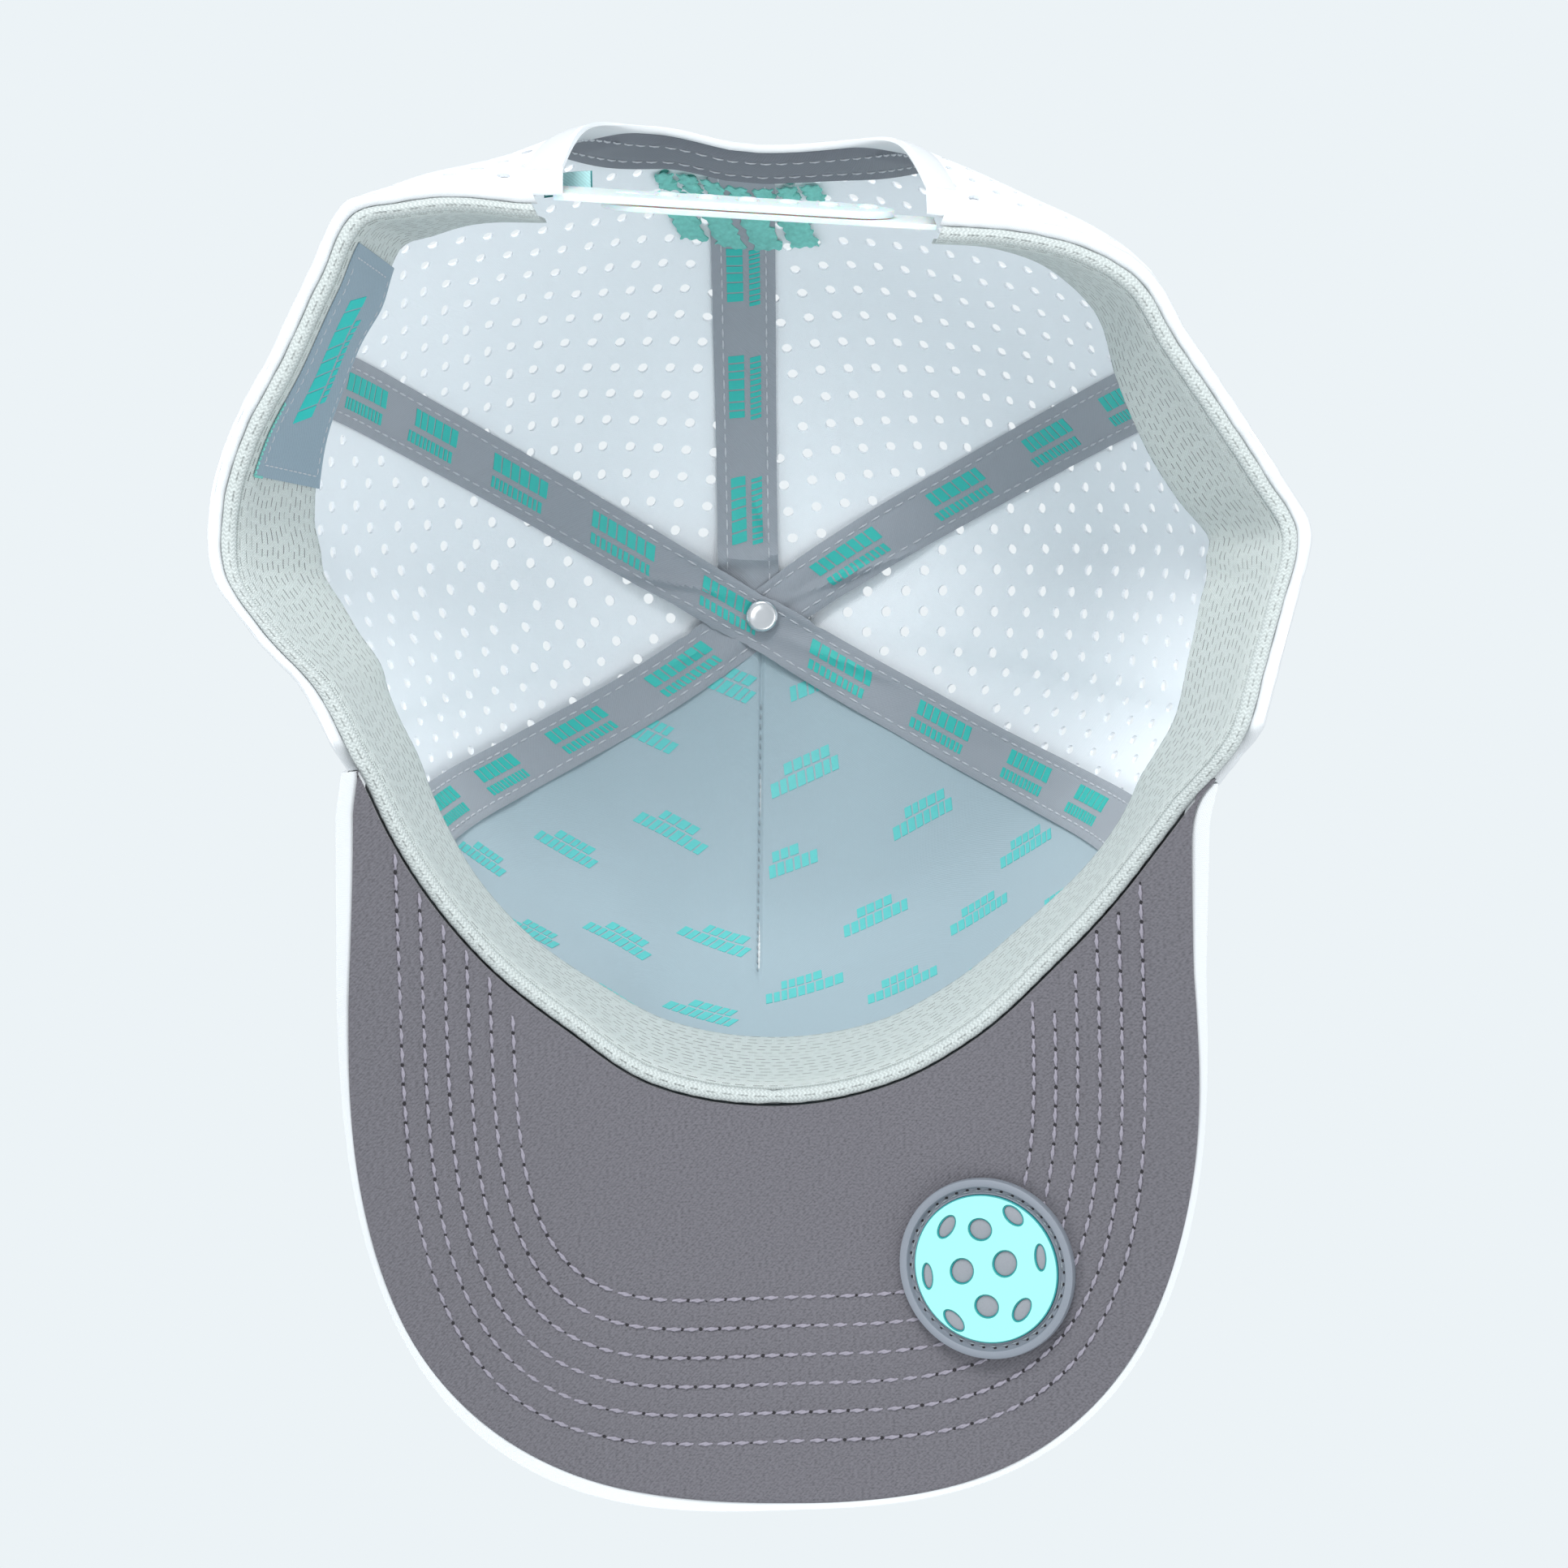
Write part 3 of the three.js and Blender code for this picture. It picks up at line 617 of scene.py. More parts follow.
def smooth(name, colour, roughness=0.5, grain=900.0, depth=0.15, vary=0.12, **sockets):
    """Moulded or spun surface with a fine uneven grain."""
    g = Graph(name)
    fine = g.noise(grain, 2.0)
    factor = g.math("ADD", g.math("MULTIPLY", fine, vary),
                    g.math("MULTIPLY", g.noise(60.0, 2.0), vary * 0.7))
    tone = g.mix(factor, shade(colour, 1.05), shade(colour, 0.5))
    return g.finish(tone, fine, depth, 0.0001, Roughness=roughness, **sockets)


# The next two are lit and shaded copies of one white cloth: the first, for the panels, is painted
# lighter as painted light through the thin cloth; the second, for hems, edges and the brim top, is
# painted darker as painted shade.
WHITE = woven("white_cloth", (0.88, 0.915, 0.95), contrast=0.05, mottle=0.04, sheen=0.12)
WHITE_SHADED = woven("white_shaded_cloth", (0.73, 0.755, 0.775), contrast=0.09, mottle=0.06,
                   sheen=0.1)
LINING = woven("lining_cloth", (0.38, 0.475, 0.525), contrast=0.10)
BUCKRAM = woven("buckram_cloth", (0.8, 0.82, 0.82), thread=1.2, contrast=0.3)
TAPE = woven("tape_cloth", (0.335, 0.36, 0.40), contrast=0.14, diagonal=True)
BRIM_CLOTH = woven("brim_twill", (0.146, 0.141, 0.160), thread=0.5, contrast=0.22,
                   diagonal=True, strength=0.5, fleck=3.6)
# A darker copy of the tape cloth for the arch tape: painted shade, since that tape lies in shade near
# the rear.
ARCH_TAPE_SHADED = woven("arch_tape_shaded_cloth", (0.19, 0.205, 0.235), contrast=0.14, diagonal=True)
TAB = woven("tab_weave", (0.46, 0.76, 0.77), thread=0.5, contrast=0.3, diagonal=True)
KNIT = knitted("band_knit", (0.64, 0.695, 0.68))
KNIT_EDGE = knitted("edge_knit", (0.60, 0.65, 0.64), 0.45, 0.26, 0.8)
LABEL = woven("label_weave", (0.28, 0.375, 0.45), thread=0.5, contrast=0.3, diagonal=True)
THREAD_DARK = smooth("brim_thread", (0.33, 0.31, 0.37), 0.55, 2500.0, 0.4, 0.35)
THREAD_LIGHT = smooth("tape_thread", (0.56, 0.58, 0.62), 0.6, 2500.0, 0.4, 0.2)
THREAD_GREY = smooth("seam_thread", (0.30, 0.34, 0.37), 0.6, 2500.0, 0.4, 0.2)
THREAD_WHITE = smooth("white_thread", (0.86, 0.88, 0.9), 0.6, 2500.0, 0.4, 0.1)
THREAD_TEAL = smooth("teal_thread", (0.27, 0.82, 0.73), 0.55, 900.0, 0.8, 0.7)
THREAD_DEEP = smooth("deep_teal_thread", (0.02, 0.24, 0.25), 0.6, 1800.0, 0.6, 0.3)
# Near-black: painted shade standing for the dark inside of needle holes.
NEEDLE_SHADE = smooth("painted_needle_shade", (0.02, 0.018, 0.022), 0.9)
PRINT_TEAL = smooth("tape_print", (0.035, 0.50, 0.445), 0.55, 1500.0, 0.2, 0.15)
LABEL_TEAL = smooth("label_print", (0.01, 0.55, 0.50), 0.55, 1500.0, 0.2, 0.15)
PRINT_PALE = smooth("lining_print", (0.12, 0.58, 0.56), 0.55, 1500.0, 0.2, 0.15)
BADGE_GREY = smooth("badge_grey", (0.215, 0.24, 0.28), 0.55, 1400.0, 0.25, 0.1)
BADGE_SPOT = smooth("badge_spot", (0.28, 0.295, 0.325), 0.7, 2400.0, 0.5, 0.2)
BADGE_MINT = smooth("badge_mint", (0.31, 0.72, 0.665), 0.5, 1400.0, 0.12, 0.04)
BADGE_TEAL = smooth("badge_teal", (0.02, 0.30, 0.32), 0.5)
STRAP = smooth("strap_plastic", (0.95, 0.96, 0.97), 0.4, 500.0, 0.05, 0.02,
               Subsurface_Weight=0.8, Subsurface_Scale=0.006, Transmission_Weight=0.1,
               Specular_IOR_Level=0.5)
METAL = smooth("rivet_metal", (0.72, 0.73, 0.75), 0.22, 700.0, 0.05, 0.05, Metallic=1.0)
BOARD = smooth("board_plastic", (0.05, 0.05, 0.055), 0.6)

# ---------------------------------------------------------------- crown panels
HOLE_PITCH = 6.15
HOLE_RADIUS = 1.15


def hex_points(low, high, pitch):
    xs = np.arange(low[0], high[0], pitch)
    rows = []
    for k, y in enumerate(np.arange(low[1], high[1], pitch * 0.866)):
        shifted = xs + (pitch / 2 if k % 2 else 0)
        rows.append(np.stack([shifted, np.full_like(shifted, y)], -1))
    return np.concatenate(rows)


def panel(name, start, end, perforated, stands_for, thick=0.7, arch_side=0, depth=0.0,
          turn=0, top=0.022, material=WHITE, slot="shell", crease=0.55):
    flat = Unrolled((start + end) / 2)
    if arch_side:
        turns = np.linspace(0.012, math.pi / 2, 60)
        turns = turns - 0.1 * np.sin(2 * turns)
        if arch_side < 0:
            turns = math.pi - turns
        arch_angle, arch_size = arch_disc(turns)
    foot = np.linspace(start, end, 75)
    if arch_side > 0:
        foot = np.linspace(start, arch_angle[0], 60)
    if arch_side < 0:
        foot = np.linspace(arch_angle[0], end, 60)
    loops = [(foot, np.ones_like(foot))]
    low_end = low_start = 1.0
    if arch_side > 0:
        loops.append((arch_angle[1:], arch_size[1:]))
        low_end = arch_size[-1] - 0.01
    rise_end = np.linspace(low_end - 0.01, top, 60)
    loops.append((np.full_like(rise_end, end), rise_end))
    across = np.linspace(end, start, 12)[1:-1]
    loops.append((across, np.full_like(across, top)))
    if arch_side < 0:
        low_start = arch_size[-1] - 0.01
    rise_start = np.linspace(top, low_start - 0.01, 60)
    loops.append((np.full_like(rise_start, start), rise_start))
    if arch_side < 0:
        loops.append((arch_angle[::-1][:-1], arch_size[::-1][:-1]))
    angles = np.concatenate([p[0] for p in loops])
    sizes = np.concatenate([p[1] for p in loops])
    outline = flat.from_disc(angles, sizes)
    low, high = outline.min(0), outline.max(0)
    holes = np.zeros((0, 2))

    def clear(points, margin):
        return points[inside(points, outline) & (nearest(points, outline) > margin)]

    if perforated:
        steps = np.arange(-40, 41) * HOLE_PITCH + HOLE_PITCH / 2
        c, s = math.cos(math.radians(turn)), math.sin(math.radians(turn))
        lattice = np.stack(np.meshgrid(steps, steps), -1).reshape(-1, 2) @ [[c, s], [-s, c]]
        lattice = lattice + (0, 60)
        holes = clear(lattice, 4.6)
        offset = np.array([c - s, s + c]) * HOLE_PITCH / 2
        extra = clear(lattice + offset, 1.6)
        fringe = clear(hex_points(low, high, 2.6), 1.3)
        extra = np.concatenate([extra, fringe[nearest(fringe, holes) > 4.6]])
    else:
        extra = clear(hex_points(low, high, 3.6), 1.3)
    points, faces = fill_round(outline, holes, HOLE_RADIUS, 10, extra)
    angle, size = flat.to_disc(points[:, 0], points[:, 1])
    radius = profile(angle, size)[0]
    seam = np.minimum(np.abs(angle - start) % 360, np.abs(end - angle) % 360)
    seam_gap = radius * np.radians(seam)
    sunk = crease * np.exp(-(seam_gap / 1.5) ** 2)
    sunk = sunk + 0.25 * np.exp(-((size - 1) * 110 / 1.2) ** 2)
    outer = crown(angle, size, depth + sunk)
    inner = crown(angle, size, depth + thick)
    count = len(points)
    return build(name, np.concatenate([outer, inner]), thicken(faces, count), material,
                 np.concatenate([points, points]), stands_for=stands_for, slot=slot)


# The crown panels take the lighter copy of the white cloth: painted light, as if lit through the thin
# cloth.
panel("front_cloth", 210, 330, False, ["front_panel"], thick=1.0)
panel("left_side_cloth", -30, 30, True, ["left_side_panel"], turn=45)
panel("right_side_cloth", 150, 210, True, ["right_side_panel"], turn=45)
panel("left_rear_cloth", 30, 90, True, ["left_rear_panel"], arch_side=1, turn=38)
panel("right_rear_cloth", 90, 150, True, ["right_rear_panel"], arch_side=-1, turn=-36)
panel("front_stiffener", 210.8, 329.2, False, ["front_buckram"], thick=0.7, depth=1.25,
      top=0.05, material=BUCKRAM, slot="stiffener", crease=0.0)


def from_dart(angle, size):
    """Distance along the cloth from the dart of the lining."""
    return profile(angle, size)[0] * np.radians(turn_from(angle, DART))


def lining_relief(away, size):
    """Height of the dart and of the soft waves of the lining."""
    dart = 1 - ease(0.55, 0.60, size)
    ridge = -0.5 * np.exp(-(away / 0.45) ** 2) + 0.3 * np.exp(-((away - 2.6) / 1.8) ** 2)
    return ridge * dart + 0.22 * np.sin(away * 0.11 + size * 9) * np.sin(size * 13 + 1)


def lining():
    """Lining with the dart that is sewn up its middle line."""
    rows = np.concatenate([np.linspace(210.6, 268, 34), np.linspace(269.4, 275.4, 31),
                           np.linspace(277, 329.4, 32)])
    sizes = np.linspace(0.985, 0.045, 60)
    angle, size = np.meshgrid(rows, sizes, indexing="ij")
    away = from_dart(angle, size)
    ridge = lining_relief(away, size)
    face = crown(angle, size, 2.55 + ridge)
    back = crown(angle, size, 2.2 + np.minimum(ridge, 0))
    _, walked = spoke_table(270)
    uv = np.stack([away, np.interp(1 - size, np.linspace(0, 1, 201), walked)], -1)
    slab("front_lining_cloth", face, back, LINING, uv, stands_for=["front_lining"],
         slot="lining")
    return walked


DART = 272.4
lining()


def foot_hem():
    """Folded edge of the side and rear panels, turned in to meet the sweatband."""
    for name, first, last in (("left", -22.0, 65.6), ("right", 202.0, 114.6)):
        angles = np.linspace(first, last, 150)
        turns = circle(14)
        angle, turn = np.meshgrid(angles, turns, indexing="ij")
        uneven = 0.12 * np.sin(angle * 0.9) + 0.08 * np.sin(angle * 2.3)
        radius = rim_radius(angle) + 1.25 + (1.35 + uneven * 0.5) * np.cos(turn)
        height = shell_foot(angle) + 1.1 + (1.15 + uneven) * np.sin(turn)
        rings = polar(radius, angle, height)
        uv = np.stack([angle * 1.6, turn * 1.3], -1)
        # Cloth in the darker copy of the white cloth: painted shade.
        tube(f"{name}_foot_hem", rings, WHITE_SHADED, uv, slot="shell")


foot_hem()

front = Unrolled(270)


def on_lining(a, b, lift):
    angle, size = front.to_disc(a, b)
    return crown(angle, size, 2.57 + lining_relief(from_dart(angle, size), size) + lift)


random.seed(11)
LINES_LINING = [(0.5, 3.0, -4.6, 4.6, 1.7), (-3.3, -0.1, -8.2, 8.0, 1.6)]
LINES_CUT = [(0.5, 3.0, -1.5, 4.6, 1.7), (-3.3, -0.1, -2.5, 8.0, 1.6)]
# Rows of print on each side of the dart: first place, step, slant and number of places.
PRINT_ROWS = [
    (8.5, 137, 18, -11, 28, 2), (21.6, 101.4, 27, -6.5, 28, 3), (11.5, 71.4, 24, -4, 24, 3),
    (14.6, 46.5, 24, -3, 20, 3), (-13, 138, 0, 0, -24, 1), (-8.1, 115.5, -27.5, -12.5, -24, 3),
    (-23.3, 76.8, -25.5, -5, -22, 3), (-6, 56.2, -22, -3.5, -20, 4), (-15, 33, -24, -2, -18, 2),
]
spots = [(-2.0, 92.5, -22, LINES_CUT)]
for a, up, step_a, step_up, turn, count in PRINT_ROWS:
    for k in range(count):
        x, y = a + k * step_a, up + k * step_up
        if front.to_disc(x, y)[1] < 0.9:
            spots.append((x, y, turn, LINES_LINING))
prints("lining_print_marks", spots, on_lining, PRINT_PALE, mirror=-1)

# Stitching of the dart.
dart_sizes = np.linspace(0.57, 0.1, 160)
dart_path = crown(np.full(160, DART + 0.25), dart_sizes, 2.5)
dart_normal = crown(np.full(160, DART + 0.25), dart_sizes, 3.5) - dart_path
threads("dart_stitches", [(dart_path, dart_normal, 2.2, 1.2)], THREAD_GREY, 0.11, twist=0.05)

# ---------------------------------------------------------------- seam tapes
REAR_DEPTH = 1.3
FRONT_DEPTH = 2.95
TAPE_THICK = 0.42


def tape_depth(kind, q):
    """Depth of the far face of a tape: rear arms lie on the panels, front arms on the lining."""
    crossing = {"rear": 2.35, "lower": 3.0, "upper": 3.75}[kind]
    rear_side = REAR_DEPTH + (crossing - REAR_DEPTH) * (1 - ease(0.08, 0.26, np.abs(q)))
    front_side = FRONT_DEPTH + (crossing - FRONT_DEPTH) * (1 - ease(0.05, 0.2, np.abs(q)))
    return np.where(q >= 0, rear_side, front_side)


def crumple(kind, q, y):
    """Tapes bunch a little where they cross under the rivet."""
    near = np.exp(-(q / 0.13) ** 2)
    phase = {"rear": 0.0, "lower": 1.7, "upper": 3.1}[kind]
    wide = np.exp(-(q / 0.3) ** 2)
    return (near * (0.34 * np.sin(q * 46 + phase) * np.cos(y * 0.42 + phase)
                    + 0.24 * np.sin(y * 1.0 + q * 38 + phase))
            + wide * 0.1 * np.sin(y * 0.7 - q * 25) + 0.07 * np.sin(q * 31 + y * 0.6 + phase)
            + folds(kind, q, y))


# Folds where the tapes bunch near the rivet: q, reach in q, place across, slant and height.
FOLDS = {
    "rear": [(0.115, 0.03, 3.0, -60, 0.7)],
    "lower": [(0.11, 0.06, 3.0, 37, 1.5), (-0.1, 0.04, -2.0, 30, 0.5)],
    "upper": [(0.12, 0.055, -2.5, -61, 1.5), (-0.13, 0.06, 2.5, -25, 0.5)],
}


def folds(kind, q, y):
    """Raised folds, always toward the head so that the tapes stay clear of each other."""
    height = 0.0
    for place, reach_q, across, slant, high in FOLDS[kind]:
        off_line = (y - across - slant * (q - place)) / 0.75
        height = height + high * np.exp(-((q - place) / reach_q) ** 2 - off_line ** 2)
    if kind == "rear":
        height = height + 1.4 * np.exp(-((q - 0.068 - 0.0005 * y) / 0.009) ** 2)
    if kind == "upper":
        height = height + 1.3 * np.exp(-((q - 0.05) / 0.06) ** 2) * ease(2.5, 6.35, y)
    return height


def signed_walk(angle):
    """Distance from the button, positive on the rear side, and the matching q."""
    q_rear, walk_rear = spoke_table(angle)
    q_front, walk_front = spoke_table(angle + 180)
    along = np.concatenate([-(walk_front[-1] - walk_front), (walk_rear[-1] - walk_rear)[::-1][1:]])
    sizes = np.concatenate([-q_front, q_rear[::-1][1:]])
    return along, sizes


# Each tape: spoke, first and last q, places of the print and side that its bold line is on.
TAPES = {
    "rear": (90, -0.02, 0.645, [24, 53, 82], -1),
    "lower": (150, -0.97, 0.97, [25, 54, 83, 111, -21, -50, -79, -106], -1),
    "upper": (30, -0.97, 0.97, [7, 35, 64, 92, 118, -22, -51, -80, -108], 1),
}
# Hand sewing lets the tapes stray from the seams: q and distance sideways.
STRAY = {
    "rear": ([0, 0.1, 0.25, 0.43, 0.66], [-2.5, -2.5, -1.8, -1, -0.5]),
    "lower": ([-1, -0.61, -0.34, -0.17, 0, 0.11, 0.31, 1], [-4.2, -4, -0.6, 1.4, 0.4, -0.9, -0.3,
                                                           -0.6]),
    "upper": ([-1, -0.72, -0.35, -0.12, 0, 0.14, 0.4, 0.7, 1], [1, 0.8, -2.4, -2.8, -2, -0.8, 1.8,
                                                              4.6, 4.6]),
}


def stray(kind, q):
    return sum(np.interp(q + shift, *STRAY[kind]) for shift in (-0.06, -0.02, 0.02, 0.06)) / 4


LINES_TAPE = [(0.2, 3.4, -7.6, 7.2, 2.0), (-3.2, -1.0, -6.6, 8.2, 1.0)]


def tape(kind, node):
    angle, low, high, marks, bold_side = TAPES[kind]
    along, sizes = signed_walk(angle)
    start, stop = np.interp([low, high], sizes, along)
    walk = np.linspace(start, stop, int((stop - start) / 1.0))
    q = np.interp(walk, along, sizes)
    edge_rows = [3.8, 4.4, 5.0, 5.7, 6.2, 6.35]
    across = np.array([-y for y in reversed(edge_rows)] + [0.65 * k for k in range(-5, 6)]
                      + edge_rows)
    at_q, at_y = np.meshgrid(q, across, indexing="ij")
    at_x = np.broadcast_to(walk[:, None], at_q.shape)

    def surface(x, y, lift):
        size = np.interp(x, along, sizes)
        place, part = beside_spoke(angle, size, y + stray(kind, size))
        return crown(place, part, tape_depth(kind, size) + TAPE_THICK + crumple(kind, size, y)
                     + lift)

    sewn = 0.16 * np.exp(-((np.abs(at_y) - TAPE_SEW) / 0.5) ** 2)
    rolled = 0.2 * ease(5.7, 6.35, np.abs(at_y))
    pucker = 0.05 * np.sin(at_x * 1.9) * ease(3.5, 6.0, np.abs(at_y))
    place, part = beside_spoke(angle, at_q, at_y + stray(kind, at_q))
    base = tape_depth(kind, at_q) + crumple(kind, at_q, at_y)
    face = crown(place, part, base + TAPE_THICK - sewn - rolled + pucker)
    back = crown(place, part, base)
    uv = np.stack([at_x, at_y], -1)
    slab(f"{kind}_tape_cloth", face, back, TAPE, uv, stands_for=[node], slot="tape")
    runs = []
    for side in (-TAPE_SEW, TAPE_SEW):
        line = np.linspace(start + 0.5, stop - 0.5, 200)
        runs.append(seam(surface, line, np.full_like(line, side), -0.14, 3.2, 2.35))
    threads(f"{kind}_tape_stitches", runs, THREAD_LIGHT, 0.17, twist=0.07)
    spots = [(x, 0.0, 0 if bold_side > 0 else 180, LINES_TAPE) for x in marks]
    prints(f"{kind}_tape_print", spots, surface, PRINT_TEAL)


random.seed(5)
tape("rear", "rear_seam_tape")
tape("lower", "lower_cross_tape")
tape("upper", "upper_cross_tape")


def arch_tape():
    turns = np.linspace(0.03, math.pi - 0.03, 130)
    turns = turns - 0.13 * np.sin(2 * turns)
    outsets = np.array([0.9, 1.4, 1.9, 2.4, 2.9, 3.4, 4.0, 5.2, 6.6, 8.0, 8.8, 9.4, 10.0,
                        10.6, 10.9])
    angle = np.zeros((len(turns), len(outsets)))
    size = np.zeros_like(angle)
    for j, outset in enumerate(outsets):
        angle[:, j], size[:, j] = arch_disc(turns, outset)
    out = np.broadcast_to(outsets, angle.shape)
    sewn = 0.16 * (np.exp(-((out - 3.4) / 0.5) ** 2) + np.exp(-((out - 8.8) / 0.5) ** 2))
    # The white turned edge is wide beside the closure; the tape runs in under it.
    beside = 1 - ease(0.3, 0.85, np.sin(turns))
    wide = 0.45 + np.where(turns < math.pi / 2, 4.0, 3.0) * beside
    tucked = 1.1 * (1 - ease(2 * wide[:, None], 2 * wide[:, None] + 2.1, out))
    face = crown(angle, size, 2.45 - sewn - tucked)
    back = crown(angle, size, 1.95 - tucked)
    walked = walk_along(face[:, 7])
    uv = np.stack([np.broadcast_to(walked[:, None], angle.shape), out], -1)
    # The arch tape takes the darker copy of the tape cloth: painted shade.
    slab("arch_tape_shaded_cloth", face, back, ARCH_TAPE_SHADED, uv, stands_for=["arch_tape"], slot="tape")
    runs = []
    for column in (5, 10):
        path = crown(angle[:, column], size[:, column], 2.36)
        runs.append((path, crown(angle[:, column], size[:, column], 3.36) - path, 3.2, 2.35))
    threads("arch_tape_stitches", runs, THREAD_LIGHT, 0.17, twist=0.07)
    # The turned edge of the cloth that the tape binds.
    edge = []
    for turn in circle(14):
        place, part = arch_disc(turns, wide + (0.1 + wide) * math.cos(turn))
        edge.append(crown(place, part, 0.55 + 0.3 * beside
                          + (0.85 + 0.3 * beside) * math.sin(turn)))
    rings = np.stack(edge, axis=1)
    uv = np.stack([np.broadcast_to(walked[:, None], rings.shape[:2]),
                   np.broadcast_to(np.arange(14) * 0.6, rings.shape[:2])], -1)
    # Cloth in the darker copy of the white cloth: painted shade.
    tube("arch_hem", rings, WHITE_SHADED, uv, slot="shell")


arch_tape()

# Topstitching that shows outside, one row each side of every seam.
outside_runs = []
for spoke in SPOKES:
    along, sizes = signed_walk(spoke)
    lowest = 0.62 if spoke == 90 else 0.985
    line = np.linspace(4.5, float(np.interp(lowest, sizes, along)), 160)
    size = np.interp(line, along, sizes)
    for side in (-TAPE_SEW, TAPE_SEW):
        place, part = beside_spoke(float(spoke), size, np.full_like(line, side))
        path = crown(place, part, 0.02)
        outside_runs.append((path, crown(place, part, -0.98) - path, 3.2, 2.3))
threads("outer_seam_stitches", outside_runs, THREAD_WHITE, 0.15, sides=4, twist=0.05)


# ---------------------------------------------------------------- sweatband
def band_fold(angle, part):
    """Soft folds where the band turns sharply: angle, width in degrees and depth in mm."""
    fold = 0.0
    for at, wide, deep in ((171, 1.3, -1.5), (168.5, 1.6, 0.8), (173.5, 1.8, 0.7), (8, 1.5, -0.7),
                           (11, 1.2, 0.6), (14, 1.4, -0.8), (17, 1.3, 0.6), (51, 2.0, 0.9)):
        fold = fold + deep * np.exp(-(turn_from(angle, at) / wide) ** 2)
    return fold * np.clip(part * 1.6, 0, 1) * (1.1 - 0.7 * np.clip(part, 0, 1))


def band_point(angle, part, inset):
    part = np.asarray(part, float)
    fold = band_fold(angle, part)
    from_closure = np.abs(turn_from(angle, 90))
    fold = fold + 1.5 * np.clip(part, 0, 1) * ease(45, 28, from_closure)
    radius = rim_radius(angle) - 2.5 - lean(angle) * np.abs(part) ** 1.1 - inset + fold
    height = rim_height(angle) + 2.4 + 26.2 * part
    return polar(radius, angle, height)


BAND_ANGLES = np.linspace(CLOSURE[0], CLOSURE[1] - 360, 340)
band_walk = walk_along(band_point(BAND_ANGLES, 0.0 * BAND_ANGLES, 0))


def sweatband():
    parts = np.concatenate([[0, 0.02], np.linspace(0.06, 0.96, 15), [0.99, 1.0]])
    angle, part = np.meshgrid(BAND_ANGLES, parts, indexing="ij")
    ribs = 0.09 * np.sin(part * 26.2 / 1.75 * 2 * math.pi)
    round_off = 0.5 * (ease(0.05, 0.0, part) + ease(0.965, 1.0, part))
    face = band_point(angle, part, 0.95 + ribs * 0.5 - round_off)
    back = band_point(angle, part, 0.0)
    uv = np.stack([np.broadcast_to(band_walk[:, None], angle.shape), part * 28.0], -1)
    slab("sweatband_knit", face, back, KNIT, uv, stands_for=["sweatband"], slot="band")
    turns = circle(12)
    angle, turn = np.meshgrid(BAND_ANGLES, turns, indexing="ij")
    notch = 0.35 * np.exp(-((angle + 90.0) / 0.9) ** 2)
    thick = 1.45 + 0.05 * np.sin(band_walk * 3.1)[:, None] + 0.04 * np.sin(turn * 3) - notch
    radius = rim_radius(angle) - 1.45 + thick * np.cos(turn)
    height = rim_height(angle) + 1.15 + thick * np.sin(turn) * 0.9
    rings = polar(radius, angle, height)
    uv = np.stack([np.broadcast_to(band_walk[:, None], angle.shape), turn * 1.25], -1)
    tube("sweatband_roll", rings, KNIT_EDGE, uv, stands_for=["sweatband_edge"], slot="band")


sweatband()


def sweatband_label():
    angles = np.linspace(21.2, 47.6, 60)
    parts = np.linspace(0.05, 1.0, 24)
    angle, part = np.meshgrid(angles, parts, indexing="ij")
    walked = np.interp(-angles, -BAND_ANGLES, band_walk)
    x = walked[0] - walked
    x = np.broadcast_to(x[:, None], angle.shape)
    y = part * 26.2
    span = x.max()
    rim = np.minimum(np.minimum(x, span - x), np.minimum(y - y.min(), y.max() - y))
    sewn = 0.14 * np.exp(-((rim - 2.4) / 0.4) ** 2)
    face = band_point(angle, part, 1.42 - sewn - 0.15 * (1 - ease(0, 0.8, rim)))
    back = band_point(angle, part, 1.02)
    uv = np.stack([x, y], -1)
    slab("sweatband_label_weave", face, back, LABEL, uv, stands_for=["sweatband_label"],
         slot="label")

    def surface(px, py, lift):
        at = np.interp(px, x[:, 0], angles)
        return band_point(at, py / 26.2, 1.42 + lift)

    corners = [(2.4, 3.6), (span - 2.4, 3.6), (span - 2.4, 24.6), (2.4, 24.6), (2.4, 3.6)]
    runs = []
    for (x0, y0), (x1, y1) in zip(corners, corners[1:]):
        px, py = np.linspace(x0, x1, 60), np.linspace(y0, y1, 60)
        runs.append(seam(surface, px, py, -0.1, 2.0, 1.4))
    threads("label_stitches", runs, THREAD_LIGHT, 0.12, twist=0.05)
    lines = [(-5.2, 1.6, -11.5, 12.5, 2.9), (2.8, 4.8, -9.0, 8.0, 1.1)]
    prints("label_marks", [(span / 2 + 1, 14.0, 0, lines)], surface, LABEL_TEAL)
    px = np.concatenate([np.full(12, 0.0), np.linspace(0, 15, 30)])
    py = np.concatenate([np.linspace(4.5, 1.4, 12), np.full(30, 1.3)])
    path = surface(px, py, -0.2)
    threads("label_edge_thread", [(path, surface(px, py, 0.85) - path, 0.9, 0.8)],
            THREAD_TEAL, 0.2)


random.seed(3)
sweatband_label()


# ---------------------------------------------------------------- brim
def evenly(path, count):
    path = np.asarray(path, float)
    walked = walk_along(path)
    return read_at(np.linspace(0, walked[-1], count), walked, path)


def brim_outline(offset, count):
    across, ahead = squarish(np.linspace(0, math.pi, 240), BRIM_POWER)
    curve = np.stack([(BRIM_A + offset) * across, BRIM_MIDDLE - (BRIM_B + offset) * ahead], -1)
    path = [(75.8 + offset, -18.5), (77 + offset, -26), *curve,
            (-79.3 - offset, -32), (-80.9 - offset, -25.2)]
    return evenly(path, count)


